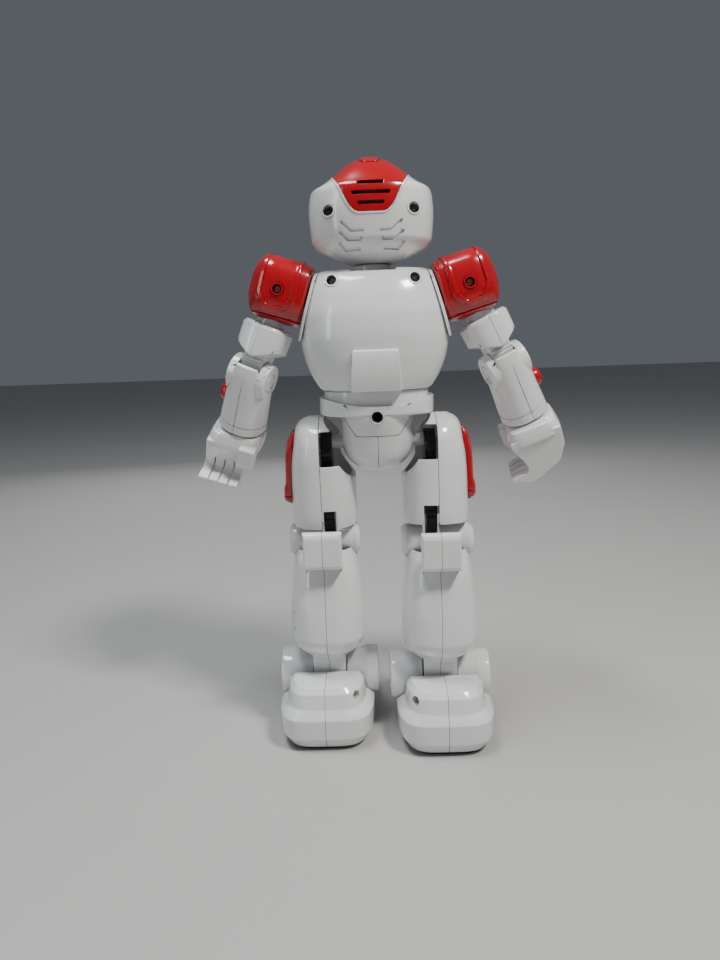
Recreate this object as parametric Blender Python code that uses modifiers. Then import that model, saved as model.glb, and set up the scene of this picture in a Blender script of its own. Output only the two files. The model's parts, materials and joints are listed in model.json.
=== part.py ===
"""Educational coding robot: a walking humanoid toy built from white and red shells on a jointed frame.

Sizes are in millimetres and MM turns them into Blender's metres. The robot faces -Y, stands on
Z = 0, and its own left side is +X. Each moving body hangs on an empty that sits on its joint axis.
Rings are (height, centre x, centre y, half width x, half depth y), listed from low to high.
"""
from math import copysign, cos, pi, radians, sin

import bmesh
import bpy
from mathutils import Matrix, Vector

MM = 0.001
GAP = 0.3                      # clearance between neighbouring solids
WALL = 1.7                     # moulded shell thickness
ORIGIN_X = 0.22                # shift that centres the outstretched arms on the row's origin
ORIGIN_Y = 3.0                 # shift that centres the feet on the row's origin

LIFT = 3.2                     # heights of the trunk and head are drawn this much too low

HEAD_TOP = 262.0
HEAD_BOTTOM = 218.6
NECK_RADIUS = 8.4
TORSO_TOP = 216.0
TORSO_BOTTOM = 163.6

SHOULDER_X = 41.5
SHOULDER_Z = 208.7
SHOULDER_TILT = 17.0           # swing axis rises outward by this many degrees
ARMHOLE_TILT = 16.5            # side walls of the torso lean in towards the neck
ARMHOLE_X = 30.7               # where the side wall passes ARMHOLE_Z
ARMHOLE_Z = 198.5
ELBOW_DROP = 41.0              # shoulder centre to elbow axis
FOREARM_LENGTH = 27.0          # elbow axis to wrist face

HIP_X = 26.9
HIP_Z = 139.0
KNEE_DROP = 48.0
ANKLE_DROP = 68.5
FOOT_OUTSET = 1.4              # foot centre lies outside the leg centre
STRIDE = 4.3                   # rest swing of each thigh in degrees, left forward and right back

WHITE = (0.83, 0.84, 0.86)
RED = (0.62, 0.015, 0.02)
BLACK = (0.012, 0.012, 0.014)
GREY = (0.22, 0.22, 0.24)


def clear_scene():
    for item in list(bpy.data.objects):
        bpy.data.objects.remove(item, do_unlink=True)


def new_collection(name):
    group = bpy.data.collections.new(name)
    bpy.context.scene.collection.children.link(group)
    return group


def paint(name, colour, roughness, metallic=0.0):
    mat = bpy.data.materials.new(name)
    mat.use_nodes = True
    shader = mat.node_tree.nodes["Principled BSDF"]
    shader.inputs["Base Color"].default_value = (*colour, 1.0)
    shader.inputs["Roughness"].default_value = roughness
    shader.inputs["Metallic"].default_value = metallic
    return mat


def mesh_object(name, build):
    """An object whose mesh is filled by build(bm) in millimetres and then scaled to metres."""
    bm = bmesh.new()
    build(bm)
    bmesh.ops.scale(bm, vec=(MM, MM, MM), verts=bm.verts)
    bmesh.ops.recalc_face_normals(bm, faces=bm.faces)
    mesh = bpy.data.meshes.new(name)
    bm.to_mesh(mesh)
    bm.free()
    return bpy.data.objects.new(name, mesh)


def ring_points(ring, count, power):
    height, centre_x, centre_y, half_x, half_y = ring
    points = []
    for step in range(count):
        angle = 2 * pi * (step + 0.5) / count
        across = copysign(abs(cos(angle)) ** (2 / power), cos(angle))
        along = copysign(abs(sin(angle)) ** (2 / power), sin(angle))
        points.append((centre_x + half_x * across, centre_y + half_y * along, height))
    return points


def loft(name, rings, count=16, power=2.4, turn=None):
    """A closed body skinned over superellipse rings."""
    def build(bm):
        loops = []
        for ring in rings:
            loops.append([bm.verts.new(point) for point in ring_points(ring, count, power)])
        for low, high in zip(loops, loops[1:]):
            for i in range(count):
                j = (i + 1) % count
                bm.faces.new((low[i], low[j], high[j], high[i]))
        bm.faces.new(list(reversed(loops[0])))
        bm.faces.new(loops[-1])
        if turn:
            bmesh.ops.transform(bm, matrix=turn, verts=bm.verts)
    return mesh_object(name, build)


def block(name, low, high, bevel=0.0):
    """A box between two opposite corners."""
    centre = (Vector(low) + Vector(high)) / 2
    extent = Vector([abs(b - a) for a, b in zip(low, high)])
    def build(bm):
        bmesh.ops.create_cube(bm, size=1.0, matrix=Matrix.Translation(centre) @ Matrix.Diagonal((*extent, 1)))
        if bevel:
            bmesh.ops.bevel(bm, geom=bm.edges, offset=bevel, segments=1, affect="EDGES")
    return mesh_object(name, build)


def rod(name, start, end, radius, end_radius=None, sides=16):
    """A round bar or cone between two points."""
    start, end = Vector(start), Vector(end)
    place = Matrix.Translation((start + end) / 2)
    place = place @ (end - start).to_track_quat("Z", "Y").to_matrix().to_4x4()
    far = radius if end_radius is None else end_radius
    def build(bm):
        bmesh.ops.create_cone(bm, cap_ends=True, segments=sides, radius1=radius, radius2=far,
                              depth=(end - start).length, matrix=place)
    return mesh_object(name, build)


def prism(name, outline, low, high, axis="Y"):
    """A flat outline pushed from low to high along an axis. The outline lists the other two coordinates."""
    def at(point, reach):
        first, second = point
        return {"X": (reach, first, second), "Y": (first, reach, second), "Z": (first, second, reach)}[axis]
    def build(bm):
        face = bm.faces.new([bm.verts.new(at(point, low)) for point in outline])
        pushed = bmesh.ops.extrude_face_region(bm, geom=[face])
        moved = [item for item in pushed["geom"] if isinstance(item, bmesh.types.BMVert)]
        shift = Vector(at((0, 0), high)) - Vector(at((0, 0), low))
        bmesh.ops.translate(bm, vec=shift, verts=moved)
    return mesh_object(name, build)


def turned(name, profile, sides=24):
    """A turned body. The profile lists (radius, height) down its outer side, from axis to axis."""
    mesh = bpy.data.meshes.new(name)
    points = [(radius * MM, 0, height * MM) for radius, height in profile]
    mesh.from_pydata(points, [(i, i + 1) for i in range(len(points) - 1)], [])
    obj = bpy.data.objects.new(name, mesh)
    screw = obj.modifiers.new("turn", "SCREW")
    screw.steps = screw.render_steps = sides
    screw.use_merge_vertices = True
    screw.merge_threshold = 0.00001
    screw.use_normal_calculate = True
    return obj


def grown(rings, amount, low=0.0, high=0.0):
    """The same rings made wider by an amount, with the first and last ring moved by low and high."""
    wider = [[z, x, y, max(a + amount, 0.6), max(b + amount, 0.6)] for z, x, y, a, b in rings]
    wider[0][0] += low
    wider[-1][0] += high
    return wider


class Body:
    """The pieces that move together, in the frame of one empty."""

    def __init__(self, name, parent=None, place=None):
        self.empty = bpy.data.objects.new("frame_" + name, None)
        self.empty.empty_display_size = 10 * MM
        cutters.objects.link(self.empty)
        self.empty.hide_render = True
        self.empty.parent = parent.empty if parent else None
        matrix = place.copy() if place else Matrix.Identity(4)
        matrix.translation *= MM
        self.empty.matrix_basis = matrix

    def piece(self, obj, material):
        robot.objects.link(obj)
        obj.parent = self.empty
        obj.data.materials.append(material)
        obj.data.shade_smooth()
        obj.data.set_sharp_from_angle(angle=radians(35))
        return obj

    def tool(self, obj):
        if obj.name not in cutters.objects:
            cutters.objects.link(obj)
            obj.parent = self.empty
            obj.hide_render = True
            obj.display_type = "WIRE"
        return obj

    def boolean(self, obj, other, operation):
        step = obj.modifiers.new(operation.lower(), "BOOLEAN")
        step.operation = operation
        step.object = self.tool(other)

    def cut(self, obj, *others):
        for other in others:
            self.boolean(obj, other, "DIFFERENCE")

    def keep(self, obj, other):
        self.boolean(obj, other, "INTERSECT")

    def join(self, obj, other):
        self.boolean(obj, other, "UNION")


def half_space(name, axis, side, reach=280.0, gap=GAP):
    """A large box on one side of the plane through the frame's origin, half a gap away from it."""
    low = [-reach, -reach, -reach]
    high = [reach, reach, reach]
    near = gap / 2 * side
    low["XYZ".index(axis)], high["XYZ".index(axis)] = sorted((near, reach * side))
    return block(name, low, high)


def place(x=0.0, y=0.0, z=0.0, turns=()):
    """A frame at a point in millimetres, turned by (degrees, axis) pairs in order."""
    matrix = Matrix.Translation((x, y, z))
    for degrees, axis in turns:
        matrix = matrix @ Matrix.Rotation(radians(degrees), 4, axis)
    return matrix


def mirrored(outline, side):
    return [(side * across, up) for across, up in outline]


def resized(outline, amount):
    """The outline moved outward from its centre by an amount on each coordinate."""
    middle_a = sum(a for a, b in outline) / len(outline)
    middle_b = sum(b for a, b in outline) / len(outline)
    return [(a + copysign(amount, a - middle_a), b + copysign(amount, b - middle_b)) for a, b in outline]


def shell(body, name, rings, material, keep, power=2.4, low=WALL, high=-WALL, turn=None):
    """A hollow half of a lofted casing: outer form less the hollow, kept on one side."""
    outer = loft(name, rings, power=power, turn=turn)
    hollow = loft(name + "_hollow", grown(rings, -WALL, low, high), power=power, turn=turn)
    body.cut(outer, hollow)
    for side_box in keep:
        body.keep(outer, side_box)
    return body.piece(outer, material)


HEAD_RINGS = [(HEAD_BOTTOM, 0, 1, 9.0, 10.0), (220.6, 0, 1, 14.5, 15.0), (223.0, 0, 1, 20.0, 19.0),
              (225.8, 0, 1, 25.0, 22.5), (228.5, 0, 1, 26.6, 24.2), (240.0, 0, 1, 27.5, 25.5),
              (246.0, 0, 1, 27.0, 25.0), (248.4, 0, 1, 26.2, 24.4), (251.0, 0, 1, 21.6, 22.3),
              (254.7, 0, 1, 16.2, 18.9), (258.0, 0, 1, 12.0, 14.6), (260.6, 0, 1, 7.6, 9.4),
              (HEAD_TOP, 0, 1, 3.0, 4.0)]
CAP_OUTLINE = [(-16.6, 254.9), (-12.8, 248.0), (-9.6, 240.6), (-6.8, 236.9), (6.8, 236.9), (9.6, 240.6),
               (12.8, 248.0), (16.6, 254.9), (16.6, 272), (-16.6, 272)]
VISOR_OUTLINE = [(-15, 229.5), (15, 229.5), (20, 233.5), (21, 246), (16.5, 251), (-16.5, 251),
                 (-21, 246), (-20, 233.5)]
CAP_RISE = 0.9
EYE_X = 9.5
EYE_Z = 240.5
EYE_RADIUS = 5.0
SLOT_HALF_WIDTHS = {248.5: 5.4, 244.4: 8.0, 240.3: 5.4}    # height: half width of each sound slot
SLOT_HALF_HEIGHT = 0.8
HEAD_SCREW_X = 18.0
HEAD_SCREW_Z = 239.2
SCREW_HOLE_RADIUS = 2.35


def build_head(head, white, red, black, glass, grey):
    neck_hole = rod("neck_hole", (0, 0, 212), (0, 0, 226), NECK_RADIUS - 2.0)
    button_hole = block("button_hole", (-5.4, 0.6, 254), (5.4, 9.4, 275))
    slots = []
    for height, half_width in SLOT_HALF_WIDTHS.items():
        low = (-half_width, 14, height - SLOT_HALF_HEIGHT)
        high = (half_width, 40, height + SLOT_HALF_HEIGHT)
        slots.append(block("sound_slot_%d" % height, low, high))
    screw_holes = []
    for x in (-HEAD_SCREW_X, HEAD_SCREW_X):
        screw_holes.append(rod("head_screw_hole_%d" % x, (x, 14, HEAD_SCREW_Z), (x, 40, HEAD_SCREW_Z),
                               SCREW_HOLE_RADIUS, sides=12))

    back = shell(head, "head_back_shell", HEAD_RINGS, white, [half_space("head_rear", "Y", 1)])
    head.cut(back, neck_hole, button_hole, *slots, *screw_holes)

    front = shell(head, "head_front_shell", HEAD_RINGS, white, [half_space("head_fore", "Y", -1)])
    visor_opening = prism("visor_opening", resized(VISOR_OUTLINE, GAP), -40, -8)
    head.cut(front, neck_hole, visor_opening)

    cap = loft("head_cap", grown(HEAD_RINGS, CAP_RISE, -CAP_RISE, CAP_RISE))
    head.cut(cap, loft("cap_seat", grown(HEAD_RINGS, GAP, -GAP, GAP)))
    head.keep(cap, prism("cap_outline", CAP_OUTLINE, -12, 40))
    head.cut(cap, button_hole, *slots)
    head.piece(cap, red)

    visor = loft("face_visor", grown(HEAD_RINGS, 0.2, 0, 0))
    head.cut(visor, loft("visor_back", grown(HEAD_RINGS, -WALL, WALL, -WALL)))
    head.keep(visor, prism("visor_outline", VISOR_OUTLINE, -40, -8))
    head.piece(visor, black)
    for side, name in ((1, "eye_left"), (-1, "eye_right")):
        at = (side * EYE_X, -25.0, EYE_Z)
        head.cut(visor, rod(name + "_hole", (at[0], -40, EYE_Z), (at[0], -10, EYE_Z), EYE_RADIUS + 0.4))
        head.piece(rod(name, (at[0], -19, EYE_Z), at, EYE_RADIUS, EYE_RADIUS - 0.4), glass)

    head.piece(rod("speaker", (0, 11, 244.4), (0, 17, 244.4), 9.0, 7.0), grey)


def build_head_button(body, red):
    rings = [(256.0, 0, 5, 5.0, 4.0), (262.0, 0, 5, 4.9, 3.9), (263.4, 0, 5, 4.2, 3.1)]
    body.piece(loft("head_button", rings, count=12, power=4), red)


TORSO_RINGS = [
    (TORSO_BOTTOM, 0, 1, 24.8, 20.8),
    (165.0, 0, 1, 26.0, 22.0),
    (172.0, 0, 1, 30.6, 24.5),
    (180.0, 0, 1, 33.9, 26.3),
    (188.0, 0, 1, 35.2, 27.0),
    (196.0, 0, 1, 34.4, 26.5),
    (204.0, 0, 1, 32.0, 24.5),
    (210.0, 0, 1, 29.6, 22.0),
    (214.4, 0, 1, 27.0, 18.5),
    (TORSO_TOP, 0, 1, 24.0, 15.5),
]
BUMP_RINGS = [(TORSO_BOTTOM, 0, 20, 11.0, 9.5), (172, 0, 20, 10.4, 11.0), (178, 0, 20, 9.8, 11.2),
              (181.4, 0, 20, 9.2, 8.6)]
CHEST_OUTLINE = [(-15, 207), (15, 207), (12, 191), (5, 185), (-5, 185), (-12, 191)]
CHEST_BUTTON_Z = 198.0
BACK_SCREW_X = 18.0
BACK_SCREW_Z = 211.4
SHAFT_HOLE_RADIUS = 5.3


def shoulder_point(side, reach):
    """A point on the swing axis, at a distance outward from the shoulder's centre."""
    tilt = radians(SHOULDER_TILT)
    return (side * (SHOULDER_X + reach * cos(tilt)), 0, SHOULDER_Z + reach * sin(tilt))


def armhole_slab(name, side, inset):
    """The region outside the sloping side wall of the torso."""
    slab = block(name, (0, -60, -60), (side * 60, 60, 60))
    turn = place(side * (ARMHOLE_X - inset), 0, ARMHOLE_Z, [(-side * ARMHOLE_TILT, "Y")])
    turn.translation *= MM
    slab.data.transform(turn)
    return slab


def build_torso(root, white, red, grey, green):
    slabs = [armhole_slab("armhole_%d" % side, side, 0) for side in (1, -1)]
    hollow_slabs = [armhole_slab("armhole_wall_%d" % side, side, WALL) for side in (1, -1)]
    shaft_holes = []
    for side in (1, -1):
        start, end = shoulder_point(side, -24), shoulder_point(side, 0)
        shaft_holes.append(rod("shaft_hole_%d" % side, start, end, SHAFT_HOLE_RADIUS))
    neck_hole = rod("neck_socket", (0, 0, 205), (0, 0, 222), 6.6)
    collar_hole = loft("collar_opening", [(160, 0, 1, 18, 14), (167, 0, 1, 18, 14)])
    hollow = loft("torso_hollow", grown(TORSO_RINGS, -WALL, WALL, -WALL))
    root.cut(hollow, *hollow_slabs)
    bump = loft("bump", BUMP_RINGS, power=8)
    for name, facing in (("torso_back_shell", 1), ("torso_front_shell", -1)):
        outer = loft(name, TORSO_RINGS)
        if facing == 1:
            root.join(outer, bump)
        root.cut(outer, *slabs, hollow)
        root.keep(outer, half_space(name + "_side", "Y", facing))
        root.cut(outer, neck_hole, collar_hole, *shaft_holes)
        root.piece(outer, white)
        if facing == 1:
            for x in (-BACK_SCREW_X, BACK_SCREW_X):
                start, end = (x, 10, BACK_SCREW_Z), (x, 40, BACK_SCREW_Z)
                root.cut(outer, rod("torso_screw_hole_%d" % x, start, end, SCREW_HOLE_RADIUS, sides=12))
        else:
            root.cut(outer, rod("chest_hole", (0, -40, CHEST_BUTTON_Z), (0, -12, CHEST_BUTTON_Z), 5.0))

    plate = loft("chest_plate", grown(TORSO_RINGS, 1.3))
    root.cut(plate, loft("chest_seat", grown(TORSO_RINGS, GAP)))
    root.keep(plate, prism("chest_outline", CHEST_OUTLINE, -60, -8))
    root.cut(plate, bpy.data.objects["chest_hole"])
    root.piece(plate, red)

    root.piece(block("battery_pack", (-17, -13, 167), (17, 9, 185), 1.5), grey)
    root.piece(block("control_board", (-17, -17.0, 187), (17, -15.4, 208)), green)
    for side, name in ((1, "shoulder_motor_left"), (-1, "shoulder_motor_right")):
        motor = block(name, (side * 4, -9, 189), (side * 19, 9, 207), 1.0)
        root.join(motor, rod(name + "_shaft", shoulder_point(side, -28), shoulder_point(side, -5), 4.8))
        root.piece(motor, grey)
    profile = [(0, 223.5), (5.4, 223.5), (5.6, 218.3), (NECK_RADIUS, 218.2), (NECK_RADIUS, 216.4),
               (5.8, 216.2), (5.8, 208), (0, 208)]
    root.piece(turned("neck_post", profile, 20), white)


def build_chest_button(body, glass):
    body.piece(rod("chest_button", (0, -20, CHEST_BUTTON_Z), (0, -27.6, CHEST_BUTTON_Z), 4.5, 4.0), glass)


PELVIS_RINGS = [(126, 0, 1, 9.0, 8.0), (128, 0, 1, 12.8, 11.0), (131, 0, 1, 15.3, 13.5),
                (136, 0, 1, 17.4, 15.6), (142, 0, 1, 17.9, 17.0), (151.6, 0, 1, 17.9, 18.0)]
BAND_RINGS = [(152.3, 0, 1, 25.2, 21.0), (153.6, 0, 1, 26.4, 22.2), (160.2, 0, 1, 26.4, 22.2)]
BAND_DIP = [(-28, 161), (-18, 158.4), (-9, 156.8), (9, 156.8), (18, 158.4), (28, 161)]
SHIELD_OUTLINE = [(-16, 153.0), (16, 153.0), (9.6, 143.7), (-9.6, 143.7)]
SOCKET_Z = 152.2


def build_pelvis(root, white, black):
    collar_rings = [(156.0, 0, 1, 23.5, 19.5), (163.3, 0, 1, 23.5, 19.5)]
    root.piece(loft("waist_collar", collar_rings), white)

    socket_hole = rod("socket_hole", (0, 10, SOCKET_Z), (0, 40, SOCKET_Z), 3.3, sides=12)
    for name, facing in (("pelvis_rear_cover", 1), ("pelvis_front_cover", -1)):
        cover = loft(name, BAND_RINGS)
        if facing == 1:
            root.join(cover, prism("shield", SHIELD_OUTLINE, 19.4, 22.6))
        root.cut(cover, loft(name + "_hollow", grown(BAND_RINGS, -WALL, WALL, 2.0)))
        root.keep(cover, half_space(name + "_side", "Y", facing))
        root.cut(cover, socket_hole)
        if facing == 1:
            root.cut(cover, prism("band_dip", BAND_DIP, 3, 40))
        root.piece(cover, white)
    socket = rod("charging_socket", (0, 15, SOCKET_Z), (0, 23.5, SOCKET_Z), 2.9, sides=12)
    root.cut(socket, rod("socket_bore", (0, 18, SOCKET_Z), (0, 30, SOCKET_Z), 1.7, sides=12))
    root.piece(socket, black)

    shaft_clearance = rod("hip_shaft_clearance", (-40, 0, HIP_Z), (40, 0, HIP_Z), 3.3)
    for name, side in (("pelvis_shell_left", 1), ("pelvis_shell_right", -1)):
        half = shell(root, name, PELVIS_RINGS, white, [half_space(name + "_side", "X", side)])
        root.cut(half, shaft_clearance, socket_hole)
    root.piece(rod("hip_shaft", (-HIP_X - 1.5, 0, HIP_Z), (HIP_X + 1.5, 0, HIP_Z), 2.85), white)


THIGH_RINGS = [(-38.5, -0.6, 0, 15.2, 16.4), (-32.0, -0.6, 0, 15.6, 17.0), (-20.0, -0.6, 0, 15.6, 17.4),
               (-8.0, -0.6, 0, 15.0, 17.5), (0.0, -0.8, 0, 13.9, 16.8), (5.0, -0.6, 0, 12.9, 14.8),
               (8.5, -0.2, 0, 11.4, 11.6), (11.0, 0, 0, 8.9, 6.8), (12.6, 0, 0, 5.5, 2.5)]
PAD_RINGS = [(-28.5, 14.9, 0, 1.8, 5.0), (-26.0, 15.3, 0, 3.3, 7.5), (-22.0, 15.1, 0, 3.4, 8.0),
             (-18.0, 14.8, 0, 2.8, 8.0), (-8.0, 14.4, 0, 2.8, 7.8), (0.0, 13.3, 0, 2.8, 7.4),
             (6.0, 12.0, 0, 1.6, 5.5)]
LINK_OUTLINE = [(-4.5, 3.0), (-2.5, 5.0), (2.5, 5.0), (5.5, 3.5), (8.5, -3.0), (8.5, -37.5), (4.6, -46.5),
                (3.6, -51.3), (1.6, -52.7), (-1.6, -52.7), (-3.6, -51.3), (-4.6, -46.5)]
LINK_INNER_X = 6.5             # inner face of the black thigh link, measured from the leg's centre
LINK_OUTER_X = 0.4
PIN_RADIUS = 2.1
PIN_HOLE = 2.5


def side_block(name, side, low, high):
    """A box given for the left side, mirrored for the right one. Negative x is towards the other leg."""
    return block(name, (side * low[0], low[1], low[2]), (side * high[0], high[1], high[2]))


def offset_rings(rings, side):
    return [(z, side * x, y, half_x, half_y) for z, x, y, half_x, half_y in rings]


def build_thigh(thigh, tag, side, white, red, black):
    notch = side_block("hip_notch" + tag, side, (-30, -40, -15.5), (-8.1, 40, 40))
    window = side_block("hip_window" + tag, side, (-12, 2, -7.5), (-GAP / 2, 40, 7.0))
    slot = side_block("knee_slot" + tag, side, (-6.9, 2, -60), (-GAP / 2, 40, -29.5))
    rings = offset_rings(THIGH_RINGS, side)
    for name, facing in (("thigh_outer_shell", 1), ("thigh_inner_shell", -1)):
        half = shell(thigh, name + tag, rings, white,
                     [half_space(name + tag + "_side", "X", side * facing)], low=-5.0)
        if facing == -1:
            thigh.cut(half, notch, window, slot)
    pad = loft("thigh_pad" + tag, offset_rings(PAD_RINGS, side), count=12)
    thigh.cut(pad, loft("pad_seat" + tag, grown(rings, GAP)))
    thigh.piece(pad, red)

    link = prism("thigh_link" + tag, LINK_OUTLINE, -side * LINK_INNER_X, -side * LINK_OUTER_X, "X")
    thigh.cut(link, rod("hip_eye" + tag, (-20, 0, 0), (20, 0, 0), 3.3))
    thigh.cut(link, rod("knee_eye" + tag, (-20, 0, -KNEE_DROP), (20, 0, -KNEE_DROP), PIN_HOLE, sides=12))
    thigh.piece(link, black)


SHIN_RINGS = [(-58.6, 0, 2, 7.6, 9.4), (-54.5, 0, 2.2, 12.6, 14.4), (-50.0, 0, 2.5, 17.0, 19.0),
              (-45.0, 0, 3, 18.4, 20.3), (-33.0, 0, 3, 17.8, 20.0), (-20.0, 0, 2.5, 16.8, 18.5),
              (-8.0, 0, 1.5, 15.2, 16.0), (-3.0, 0, 1, 13.8, 13.5)]
GUARD_OUTLINE = [(22.6, 9.2), (26.0, 8.6), (26.8, 6.4), (26.4, -8.2), (25.0, -9.4), (14.0, -11.0),
                 (14.0, -8.0), (19.4, -6.0), (19.6, 2.0)]
TONGUE_OUTLINE = [(-8.0, -52.0), (8.5, -52.0), (8.5, -60.5), (4.6, -65.0), (4.4, -70.0), (2.6, -72.6),
                  (-2.6, -72.6), (-4.4, -70.0), (-4.6, -65.0), (-8.0, -60.5)]
DRUM_RADIUS = 7.8
DRUM_HALF = 16.9
TONGUE_HALF = 8.0
SLOT_FLOOR = -5.7              # bottom of the slot that a link or tongue swings in


def build_shin(shin, tag, side, white):
    guard = prism("knee_guard_form" + tag, GUARD_OUTLINE, -9.0, 9.0, "X")
    drum_seat = rod("knee_seat" + tag, (-40, 0, 0), (40, 0, 0), DRUM_RADIUS + 0.5, sides=24)
    tongue = prism("ankle_tongue_form" + tag, TONGUE_OUTLINE, -TONGUE_HALF, TONGUE_HALF, "X")
    pin_hole = rod("ankle_eye" + tag, (-20, 0, -ANKLE_DROP), (20, 0, -ANKLE_DROP), PIN_HOLE, sides=12)
    for name, facing in (("shin_outer_shell", 1), ("shin_inner_shell", -1)):
        outer = loft(name + tag, SHIN_RINGS)
        shin.join(outer, guard)
        shin.cut(outer, loft(name + tag + "_hollow", grown(SHIN_RINGS, -WALL, 3.0, 5.0)), drum_seat)
        shin.join(outer, tongue)
        shin.cut(outer, pin_hole)
        shin.keep(outer, half_space(name + tag + "_side", "X", side * facing))
        shin.piece(outer, white)

    drum = rod("knee_drum" + tag, (-DRUM_HALF, 0, 0), (DRUM_HALF, 0, 0), DRUM_RADIUS, sides=24)
    shin.cut(drum, side_block("link_slot" + tag, side, (-7.0, -20, SLOT_FLOOR), (0.9, 20, 20)))
    shin.join(drum, rod("knee_pin_form" + tag, (-9, 0, 0), (9, 0, 0), PIN_RADIUS, sides=12))
    shin.piece(drum, white)


FOOT_RINGS = [(-24.0, 0, -3, 19.8, 35.6), (-19.0, 0, -3, 22.6, 38.6), (-9.6, 0, -3, 23.0, 39.0),
              (-7.0, 0, -3, 21.0, 37.4), (-5.2, 0, -3, 19.0, 36.2), (1.4, 0, -3, 18.2, 35.0),
              (4.0, 0, -3, 15.8, 32.6)]
FOOT_POWER = 4.4
TOE_OUTLINE = [(-12.1, 12.0), (-12.1, 1.0), (-34.0, -7.5), (-60.0, -14.0), (-60.0, 12.0)]
ANKLE_HALF = 24.2
WHEEL_Y = 21.0
WHEEL_RADIUS = 6.0


def build_foot(foot, tag, side, white, rubber):
    centre = side * FOOT_OUTSET
    rings = [(z, centre, y, half_x, half_y) for z, _, y, half_x, half_y in FOOT_RINGS]
    saddle = rod("ankle_saddle" + tag, (-40, 0, 0), (40, 0, 0), 12.1, sides=24)
    above = block("ankle_clearance" + tag, (-40, -12.1, 0), (40, 12.1, 30))
    toe_slope = prism("toe_slope" + tag, TOE_OUTLINE, -40, 40, "X")
    for name, facing in (("foot_outer_shell", 1), ("foot_inner_shell", -1)):
        half = loft(name + tag, rings, count=20, power=FOOT_POWER)
        foot.cut(half, toe_slope)
        hollow = loft(name + tag + "_hollow", grown(rings, -WALL, -5.0, -WALL), count=20, power=FOOT_POWER)
        foot.cut(hollow, bpy.data.objects.get("toe_inner" + tag) or
                 prism("toe_inner" + tag, [(y, z - 1.5 * WALL) for y, z in TOE_OUTLINE], -40, 40, "X"))
        foot.cut(half, hollow, saddle, above)
        box = half_space(name + tag + "_side", "X", side * facing)
        box.data.transform(Matrix.Translation((centre * MM, 0, 0)))
        foot.keep(half, box)
        foot.piece(half, white)

    mid = 9.6
    profile = [(0, ANKLE_HALF), (10.3, ANKLE_HALF), (11.7, ANKLE_HALF - 1.4), (11.7, 17), (mid, 12.5),
               (mid, -12.5), (11.7, -17), (11.7, 1.4 - ANKLE_HALF), (10.3, -ANKLE_HALF), (0, -ANKLE_HALF)]
    drum = turned("ankle_drum" + tag, profile)
    drum.matrix_basis = Matrix.Rotation(radians(90), 4, "Y")
    foot.cut(drum, block("tongue_slot" + tag, (-8.5, -20, SLOT_FLOOR), (8.5, 20, 20)))
    foot.join(drum, rod("ankle_pin_form" + tag, (-11, 0, 0), (11, 0, 0), PIN_RADIUS, sides=12))
    foot.piece(drum, white)

    floor = -ANKLE_HEIGHT
    sole_rings = [(floor, centre, -3, 17.6, 34.0), (floor + 1.4, centre, -3, 18.2, 34.6)]
    sole = loft("foot_sole" + tag, sole_rings, count=20, power=FOOT_POWER)
    foot.cut(sole, block("wheel_slot" + tag, (-3.6, WHEEL_Y - 7.5, -40), (3.6, WHEEL_Y + 7.5, 0)))
    foot.piece(sole, rubber)
    return floor


SHOULDER_RINGS = [(-12.4, 0, 0, 12.8, 13.0), (-11.0, 0, 0, 13.9, 14.2), (-3.0, 0, 0, 14.5, 14.8),
                  (4.0, 0, 0, 14.5, 14.8), (9.5, 0, 0, 13.4, 13.4), (12.2, 0, 0, 10.6, 10.6),
                  (13.6, 0, 0, 7.6, 7.6)]
CUFF_RINGS = [(-30.6, 0, 0, 9.8, 9.8), (-29.4, 0, 0, 10.8, 10.8), (-17.6, 0, 0, 11.4, 11.4),
              (-16.2, 0, 0, 10.2, 10.2), (-16.0, 0, 0, 6.6, 6.6), (-7.0, 0, 0, 6.6, 6.6)]
LUG_OUTLINE = [(-4.6, -28.0), (4.6, -28.0), (4.6, -43.0), (2.4, -45.6), (-2.4, -45.6), (-4.6, -43.0)]
LUG_HALF = 5.2


def build_shoulder(body, tag, side, lean, red):
    sideways = Matrix.Rotation(radians(90 * side), 4, "Y")
    cant = radians(lean)
    arm_hole = rod("arm_hole" + tag, (0, 0, 0), (side * 24 * sin(cant), 0, -24 * cos(cant)), 8.4)
    shaft_hole = rod("shaft_eye" + tag, (-side * 24, 0, 0), (-side * 8, 0, 0), SHAFT_HOLE_RADIUS)
    for name, facing in (("shoulder_rear_shell", 1), ("shoulder_front_shell", -1)):
        half = shell(body, name + tag, SHOULDER_RINGS, red, [half_space(name + tag + "_side", "Y", facing)],
                     power=3.0, turn=sideways)
        body.cut(half, arm_hole, shaft_hole)


def build_upper_arm(body, tag, white):
    cuff = loft("upper_arm_cuff" + tag, CUFF_RINGS, power=2.2)
    body.join(cuff, prism("elbow_lug_form" + tag, LUG_OUTLINE, -LUG_HALF, LUG_HALF, "X"))
    body.cut(cuff, rod("elbow_eye" + tag, (-20, 0, -ELBOW_DROP), (20, 0, -ELBOW_DROP), PIN_HOLE, sides=12))
    body.piece(cuff, white)


FOREARM_RINGS = [(-27.2, 0, 0, 10.5, 10.3), (-26.4, 0, 0, 11.0, 10.8), (-21.0, 0, 0, 10.8, 10.6),
                 (-12.0, 0, 0, 10.4, 10.4), (-4.0, 0, 0.1, 10.0, 10.1), (2.0, 0, 0.6, 9.7, 9.3),
                 (7.4, 0, 1.8, 8.9, 7.2)]
DOME_Z = -12.0


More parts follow.
